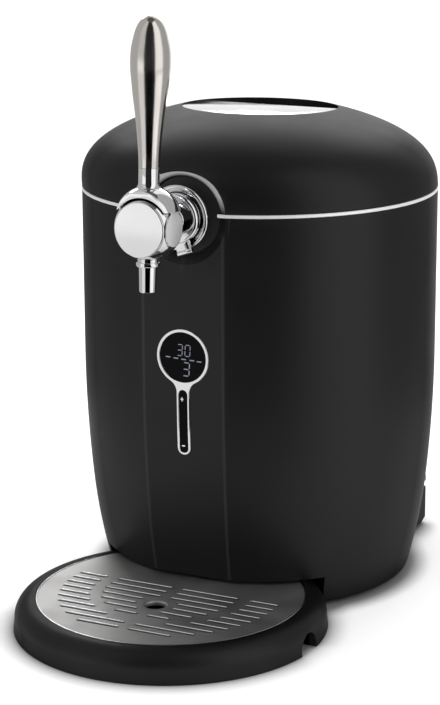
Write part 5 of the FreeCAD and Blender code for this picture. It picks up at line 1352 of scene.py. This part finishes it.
def follow_front(thing, low_z, high_z, step=0.0025):
    """Bend a piece drawn on the upright strip back along the barrel's taper."""
    with reworked(thing.data) as shape:
        bmesh.ops.triangulate(shape, faces=[f for f in shape.faces if len(f.verts) > 4])
        z = low_z
        while z < high_z:
            parts = shape.verts[:] + shape.edges[:] + shape.faces[:]
            at, across = (0, 0, z), (0, 0, 1)
            bmesh.ops.bisect_plane(shape, geom=parts, plane_co=at, plane_no=across, dist=1e-6)
            z += step
        for vert in shape.verts:
            vert.co.y += BARREL_R - barrel_radius(vert.co.z)
    return shaded(thing, 30)


def pill_outline(half, low_z, high_z):
    """(x, z) points round an upright opening with half-round ends."""
    return arc((0, high_z), half, 0, 180, 32) + arc((0, low_z), half, 180, 360, 32)


def bezel_piece():
    """The bezel with its two openings, leaned back with the strip below the taper."""
    frame_mesh = front_plate(keyhole_outline(), FRONT_Y - BEZEL_PROUD, FRONT_Y + BEZEL_DEPTH)
    thing = piece("display_frame", frame_mesh, chrome)
    head = arc((0, DISPLAY_Z), BEZEL_R - BEZEL_W, 0, 360, 128)[:-1]
    half = PILL_HALF_W - TOUCH_WALL
    pill = pill_outline(half, PILL_END_Z + PILL_HALF_W, DISPLAY_Z - TOUCH_TOP - half)
    for outline in (head, pill):
        carved(thing, [piece("hole", front_plate(outline, FRONT_Y - 0.01, FRONT_Y + 0.01))])
    rounded(thing, BEZEL_EDGE, segments=3, angle=50)
    return evened(follow_front(thing, PILL_END_Z, TAPER_Z))


display_frame = bezel_piece()
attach(display_frame, "cabinet")
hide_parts("display_bezel")


def black_glass_finish():
    """Black glass with faint wiping smears in its gloss."""
    material, tree, shader = fresh_finish("black_glass")
    preset(shader, {"Specular IOR Level": 0.06})
    scales = {"Grain Scale": 600.0, "Mark Scale": 40.0}
    marks = added(tree, "ShaderNodeGroup", scales, node_tree=MOULD_GRAIN)
    gloss = added(tree, "ShaderNodeMapRange", {"To Min": 0.05, "To Max": 0.12})
    depth = mixed(tree, (0.0015, 0.0015, 0.002), (0.003, 0.003, 0.004))
    wired(
        tree,
        (marks, "Marks", gloss, "Value"), (gloss, "Result", shader, "Roughness"),
        (marks, "Marks", depth, "Factor"), (depth, "Result", shader, "Base Color"),
    )
    return material


def dress(material, *names):
    """Give nodes that are shown as they were made their finish."""
    for name in names:
        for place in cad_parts[name].material_slots:
            place.material = material


black_glass = black_glass_finish()
dress(black_glass, "display_lens", "touch_strip")


def lit_finish(name, colour, strength):
    """Lit segment behind the glass, a little uneven along its length."""
    material, tree, shader = fresh_finish(name)
    preset(shader, {"Base Color": (0.01, 0.01, 0.012, 1), "Emission Strength": strength})
    place = added(tree, "ShaderNodeTexCoord")
    cloud = added(tree, "ShaderNodeTexNoise", {"Scale": 900.0})
    glow = mixed(tree, [0.75 * c for c in colour], colour)
    wired(
        tree,
        (place, "Object", cloud, "Vector"), (cloud, "Fac", glow, "Factor"),
        (glow, "Result", shader, "Emission Color"),
    )
    return material


SEGMENTS = {"0": "abcdef", "3": "abcdg"}
# digit, left, low, width, height and thickness of its bars
DIGITS = (
    ("3", -0.0046, 0.1962, 0.0040, 0.0082, 0.0006),
    ("0", 0.0016, 0.1962, 0.0040, 0.0082, 0.0006),
    ("3", -0.0002, 0.1816, 0.0050, 0.0098, 0.0008),
)
# middle, half width and half height of each bar
DASHES = tuple(
    (x, z, 0.0019, 0.0004)
    for x, z in (
        (-0.0119, 0.1944), (-0.0056, 0.1940), (0.0006, 0.1937), (0.0073, 0.1935), (0.0131, 0.1932)
    )
)
TOUCH_MARKS = (
    (-0.0010, 0.1637, 0.0012, 0.00035), (-0.0010, 0.1637, 0.00035, 0.0016),
    (-0.0006, 0.1284, 0.0013, 0.0005),
)


def segment_bars(digit, left, low, width, height, thick, slant=0.06):
    """Bars of one seven-segment digit as (x, z) outlines."""
    middle = low + height / 2
    right, top = left + width, low + height
    gap, half = 0.6 * thick, thick / 2
    lines = {
        "a": ((left, top), (right, top)), "b": ((right, middle), (right, top)),
        "c": ((right, low), (right, middle)), "d": ((left, low), (right, low)),
        "e": ((left, low), (left, middle)), "f": ((left, middle), (left, top)),
        "g": ((left, middle), (right, middle)),
    }
    bars = []
    for key in SEGMENTS[digit]:
        (x0, z0), (x1, z1) = lines[key]
        level = z0 == z1
        start, end = (x0 + gap, x1 - gap) if level else (z0 + gap, z1 - gap)
        lozenge = [
            (start, 0), (start + half, -half), (end - half, -half),
            (end, 0), (end - half, half), (start + half, half),
        ]
        outline = [(s, z0 + t) if level else (x0 - t, s) for s, t in lozenge]
        bars.append([(x + slant * (z - low), z) for x, z in outline])
    return bars


def glyph_mesh(outlines, face_y):
    """Thin lit bars just on the glass."""
    made = bpy.data.meshes.new("glyphs")
    with reworked(made) as shape:
        for outline in outlines:
            shape.from_mesh(front_plate(outline, face_y - 0.00002, face_y + GLYPH_T))
    return made


def bar_outline(x, z, half_w, half_h, steps=6):
    """A short bar with rounded corners."""
    r = min(half_w, half_h) * 0.9
    points = []
    for sx, sz, start in ((1, 1, 0), (-1, 1, 90), (-1, -1, 180), (1, -1, 270)):
        points += arc((x + sx * (half_w - r), z + sz * (half_h - r)), r, start, start + 90, steps)
    return points


glass_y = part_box("display_lens")[0][1]
glyphs = [outline for digit in DIGITS for outline in segment_bars(*digit)]
glyphs += [bar_outline(*dash) for dash in DASHES]
digit_light = lit_finish("lit_digits", (0.72, 0.74, 0.9), strength=0.36)
digits = piece("display_digits", glyph_mesh(glyphs, glass_y), digit_light)
marks = [bar_outline(*mark) for mark in TOUCH_MARKS]
mark_light = lit_finish("lit_marks", (0.9, 0.93, 1.0), strength=0.9)
touch_marks = piece("touch_marks", glyph_mesh(marks, glass_y), mark_light)
follow_front(touch_marks, 0.12, 0.17)
for thing in (digits, touch_marks):
    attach(thing, "cabinet")


# ---------------------------------------------------------------- black mouldings behind the looks
# The tap's socket, the floor plate, the well's collar, the fan, the inlet and the hinge's brackets
# are plain injection mouldings in matt black, with a coarser grain than the outer skin.
inner_black = moulded(
    "moulded_black", (0.012, 0.012, 0.0125), wear_and_shine_colour=(0.04, 0.04, 0.04), roughness=0.5,
    grain_scale=1800.0, bump=0.22,
)
dress(
    inner_black, "tap_socket", "base_plate", "well_collar", "fan_frame", "fan_rotor",
    "power_inlet", "hinge_brackets", "lid_hinge_arms",
)


# ---------------------------------------------------------------- rear cover
# The louvred cover closes the cooler's bay at the back.  It is moulded in the barrel's soft black
# and held by four screws.
dress(soft_black, "rear_cover")


# ---------------------------------------------------------------- lid's inside
# A vacuum-formed satin grey pan lines the lid.
# Off-white closed-cell foam fills the space between it and the shell.
pale_pan = moulded(
    "pale_pan", (0.56, 0.57, 0.58), wear_and_shine_colour=(0.7, 0.7, 0.71), roughness=0.38, grain_scale=900.0,
    mark_scale=14.0, bump=0.08,
)
dress(pale_pan, "lid_liner")


def foam_finish():
    """Closed-cell foam: small cells in the relief and a mottled off-white colour."""
    material, tree, shader = fresh_finish("cell_foam")
    place = added(tree, "ShaderNodeTexCoord")
    cells = added(tree, "ShaderNodeTexVoronoi", {"Scale": 900.0})
    mottle = added(tree, "ShaderNodeTexNoise", {"Scale": 60.0})
    colour = mixed(tree, (0.66, 0.65, 0.58), (0.8, 0.79, 0.74))
    rough = added(tree, "ShaderNodeMapRange", {"To Min": 0.8, "To Max": 0.95})
    relief = added(tree, "ShaderNodeBump", {"Strength": 0.5, "Distance": 0.0004})
    wired(
        tree,
        (place, "Object", cells, "Vector"), (place, "Object", mottle, "Vector"),
        (mottle, "Fac", colour, "Factor"), (colour, "Result", shader, "Base Color"),
        (mottle, "Fac", rough, "Value"), (rough, "Result", shader, "Roughness"),
        (cells, "Distance", relief, "Height"), (relief, "Normal", shader, "Normal"),
    )
    return material


dress(foam_finish(), "insulation_jacket", "lid_insulation")


# ---------------------------------------------------------------- keg well and cooler
# The well is drawn from aluminium sheet; the cold block, the finned heat sink and the probe are
# aluminium too, with the ceramic cooler between them.
well_metal = bright_metal(
    "drawn_aluminium", (0.74, 0.745, 0.75), roughness=0.32, spread=0.06, stretch=(1, 1, 0.05),
    scale=900.0, bump=0.12,
)
raw_aluminium = bright_metal(
    "extruded_aluminium", (0.66, 0.67, 0.68), roughness=0.42, spread=0.08, stretch=(1, 1, 0.04),
    scale=1500.0, bump=0.25,
)
zinc = bright_metal(
    "zinc_plated", (0.5, 0.5, 0.49), roughness=0.34, spread=0.08, scale=700.0, bump=0.1
)
dress(well_metal, "keg_well")
dress(raw_aluminium, "cold_block", "heat_sink", "temperature_probe")
dress(
    zinc, "base_screws", "fan_screws", "rear_cover_screws", "lid_screws", "pivot_pin",
    "grip_stud", "hinge_pins",
)
ceramic = moulded(
    "fired_ceramic", (0.78, 0.77, 0.73), wear_and_shine_colour=(0.85, 0.84, 0.8), roughness=0.6,
    grain_scale=1200.0, bump=0.1,
)
dress(ceramic, "peltier_module")
acetal = moulded(
    "acetal", (0.62, 0.62, 0.6), wear_and_shine_colour=(0.75, 0.75, 0.73), roughness=0.3, grain_scale=700.0,
    bump=0.05,
)
dress(acetal, "tap_valve")


# ---------------------------------------------------------------- rubber parts
# The four feet, the tap's seals and the lid's seal are moulded in soft black rubber.
# Its skin is dull and a little dusty.
rubber = moulded(
    "soft_rubber", (0.014, 0.014, 0.014), wear_and_shine_colour=(0.06, 0.06, 0.058), roughness=0.7,
    grain_scale=1500.0, mark_scale=30.0, bump=0.35,
)
dress(rubber, "rubber_feet", "stem_seals", "lid_seal")


# ---------------------------------------------------------------- circuit boards
# The power board and the display's board are laminate under green solder mask.
# The blocks on them stand for their larger parts.
def board_finish():
    """Solder mask over faint copper tracks, with a hazy gloss."""
    material, tree, shader = fresh_finish("solder_mask")
    place = added(tree, "ShaderNodeTexCoord")
    tracks = added(tree, "ShaderNodeTexBrick", {
        "Scale": 220.0, "Mortar Size": 0.12, "Color1": (0.012, 0.075, 0.04, 1),
        "Color2": (0.016, 0.09, 0.05, 1), "Mortar": (0.03, 0.14, 0.08, 1),
    })
    haze = added(tree, "ShaderNodeTexNoise", {"Scale": 120.0})
    gloss = added(tree, "ShaderNodeMapRange", {"To Min": 0.25, "To Max": 0.45})
    wired(
        tree,
        (place, "Object", tracks, "Vector"), (tracks, "Color", shader, "Base Color"),
        (place, "Object", haze, "Vector"), (haze, "Fac", gloss, "Value"),
        (gloss, "Result", shader, "Roughness"),
    )
    return material


dress(board_finish(), "power_board", "control_board")


# ---------------------------------------------------------------- table, light and camera
# The cooler stands on a plain pale table in soft studio light, with dark and grey cards round it
# that only polished surfaces mirror.
FLOOR_SIZE = 40.0
FLOOR_LIFT = 0.36
CONTACT = 0.022
CARD_R = 2.6
CARD_TOP_Z = 6.5
CARD_BAND_Z = 0.45
CARD_STEPS = 24
FLOOR_CARD_R = 0.5
FLOOR_CARD_Z = 0.0008
CEILING_CARD_R = 1.7
CEILING_CARD_Z = 4.2
WORLD_LIGHT = 0.85
CAMERA_LENS = 107.96
CAMERA_SHIFT = (-0.0568, -0.0393)
CAMERA_AT = (0.6709, -1.3737, 0.5799)
CAMERA_AIM = (0, AXIS_Y, 0.190)


def stage_piece(name, mesh, material):
    """Something round the object that isn't part of it."""
    mesh.materials.append(material)
    thing = bpy.data.objects.new(name, mesh)
    bpy.context.scene.collection.objects.link(thing)
    return thing


def pale_finish():
    """Matt pale table: lifted to white for the camera, with a painted contact shadow that makes it
    darker close to what stands on it.
    """
    material, tree, shader = fresh_finish("pale_table")
    preset(shader, {"Specular IOR Level": 0.0, "Emission Color": (1, 1, 1, 1)})
    speckle = added(tree, "ShaderNodeTexNoise", {"Scale": 60.0})
    gloss = added(tree, "ShaderNodeMapRange", {"To Min": 0.75, "To Max": 0.85})
    rays = added(tree, "ShaderNodeLightPath")
    lift = added(tree, "ShaderNodeMath", {1: FLOOR_LIFT}, operation="MULTIPLY")
    # Painted contact shadow: ambient occlusion darkens the table's colour and cuts its lift close
    # to what stands on it.
    near = added(tree, "ShaderNodeAmbientOcclusion", {"Distance": CONTACT})
    clear = added(tree, "ShaderNodeMapRange", {"From Min": 0.5, "From Max": 0.95})
    lift_with_painted_shadow = added(tree, "ShaderNodeMath", operation="MULTIPLY")
    pale = mixed(tree, (0.25, 0.25, 0.25), (0.9, 0.9, 0.9))
    wired(
        tree,
        (speckle, "Fac", gloss, "Value"), (gloss, "Result", shader, "Roughness"),
        (near, "AO", clear, "Value"), (clear, "Result", pale, "Factor"),
        (pale, "Result", shader, "Base Color"), (rays, "Is Camera Ray", lift, 0),
        (lift, "Value", lift_with_painted_shadow, 0), (clear, "Result", lift_with_painted_shadow, 1),
        (lift_with_painted_shadow, "Value", shader, "Emission Strength"),
    )
    return material


def table_mesh():
    """One large square on the ground."""
    half = FLOOR_SIZE / 2
    corners = [(-half, -half, 0), (half, -half, 0), (half, half, 0), (-half, half, 0)]
    mesh = bpy.data.meshes.new("table")
    mesh.from_pydata(corners, [], [(0, 1, 2, 3)])
    return mesh


def card(name, from_angle, to_angle, low, high, tone):
    """A curved card between two (radius, z) edges, seen only in polished surfaces.

    Its angles run from −Y towards +X.
    """
    verts = []
    for radius, z in (low, high):
        for i in range(CARD_STEPS + 1):
            angle = math.radians(from_angle + (to_angle - from_angle) * i / CARD_STEPS)
            verts.append((radius * math.sin(angle), AXIS_Y - radius * math.cos(angle), z))
    row = CARD_STEPS + 1
    mesh = bpy.data.meshes.new(name)
    mesh.from_pydata(verts, [], [(i, i + 1, row + i + 1, row + i) for i in range(CARD_STEPS)])
    material, tree, shader = fresh_finish(name)
    preset(shader, {
        "Base Color": (0, 0, 0, 1), "Specular IOR Level": 0.0, "Roughness": 1.0,
        "Emission Color": (tone, tone, tone, 1), "Emission Strength": 1.0,
    })
    thing = stage_piece(name, mesh, material)
    thing.visible_camera = thing.visible_diffuse = thing.visible_shadow = False


def lamp(name, at, towards, size, power, mirrored=True):
    """A softbox turned towards a point; size is its width and height."""
    light = bpy.data.lights.new(name, "AREA")
    light.shape = "RECTANGLE"
    light.size, light.size_y = size
    light.energy = power
    thing = bpy.data.objects.new(name, light)
    bpy.context.scene.collection.objects.link(thing)
    thing.location = at
    thing.rotation_euler = (Vector(towards) - Vector(at)).to_track_quat("-Z", "Y").to_euler()
    thing.visible_glossy = mirrored


def world_light():
    """White for the camera and in reflections, and a little less for everything else."""
    world = bpy.data.worlds.new("studio")
    bpy.context.scene.world = world
    world.use_nodes = True
    tree = world.node_tree
    backdrop = preset(tree.nodes["Background"], {"Color": (1, 1, 1, 1)})
    rays = added(tree, "ShaderNodeLightPath")
    seen = added(tree, "ShaderNodeMath", operation="MAXIMUM")
    mirrored = added(tree, "ShaderNodeMath", operation="MAXIMUM")
    level = added(tree, "ShaderNodeMapRange", {"To Min": WORLD_LIGHT, "To Max": 1.0})
    wired(
        tree,
        (rays, "Is Camera Ray", seen, 0), (rays, "Is Glossy Ray", seen, 1),
        (seen, "Value", mirrored, 0), (rays, "Is Transmission Ray", mirrored, 1),
        (mirrored, "Value", level, "Value"), (level, "Result", backdrop, "Strength"),
    )


def camera_piece():
    """A long lens a little above the lid, from the right of the front."""
    data = bpy.data.cameras.new("camera")
    data.lens = CAMERA_LENS
    data.sensor_width = 36.0
    data.sensor_fit = "AUTO"
    data.shift_x, data.shift_y = CAMERA_SHIFT
    thing = bpy.data.objects.new("camera", data)
    bpy.context.scene.collection.objects.link(thing)
    thing.location = CAMERA_AT
    aim = Vector(CAMERA_AIM) - Vector(CAMERA_AT)
    thing.rotation_euler = aim.to_track_quat("-Z", "Y").to_euler()
    bpy.context.scene.camera = thing


stage_piece("table", table_mesh(), pale_finish())
world_light()
for name, from_angle, to_angle, low_z, high_z, tone in (
    ("dark_card", -9, 52, 0.0, CARD_TOP_Z, 0.02),
    ("bright_card_left", -46, -9, 0.0, CARD_BAND_Z, 1.05),
    ("grey_card_ahead", -46, -9, CARD_BAND_Z, CARD_TOP_Z, 0.62),
    ("grey_card_left", -140, -46, 0.0, CARD_TOP_Z, 0.48),
    ("bright_card_right", 52, 98, 0.0, CARD_TOP_Z, 1.1),
    ("grey_card_right", 98, 165, 0.0, CARD_TOP_Z, 0.42),
):
    card(name, from_angle, to_angle, (CARD_R, low_z), (CARD_R, high_z), tone)
for name, from_angle, to_angle, tone in (
    ("dark_floor_card", -8, 52, 0.0),
    ("grey_floor_card_left", -140, -46, 0.48),
    ("grey_floor_card_right", 98, 165, 0.42),
):
    near, far = (FLOOR_CARD_R, FLOOR_CARD_Z), (CARD_R, FLOOR_CARD_Z)
    card(name, from_angle, to_angle, near, far, tone)
ceiling = (CEILING_CARD_R, CEILING_CARD_Z), (0.001, CEILING_CARD_Z)
card("dark_ceiling_card", 0, 360, *ceiling, 0.1)
lamp(
    "side_softbox", at=(1.6, -0.2, 0.7), towards=(0, AXIS_Y, 0.2), size=(1.0, 1.2), power=5,
    mirrored=False,
)
lamp("top_softbox", at=(-0.6, 1.22, 1.06), towards=(0, AXIS_Y, 0.35), size=(1.5, 0.34), power=9)
camera_piece()

bpy.context.scene.view_settings.view_transform = "Standard"
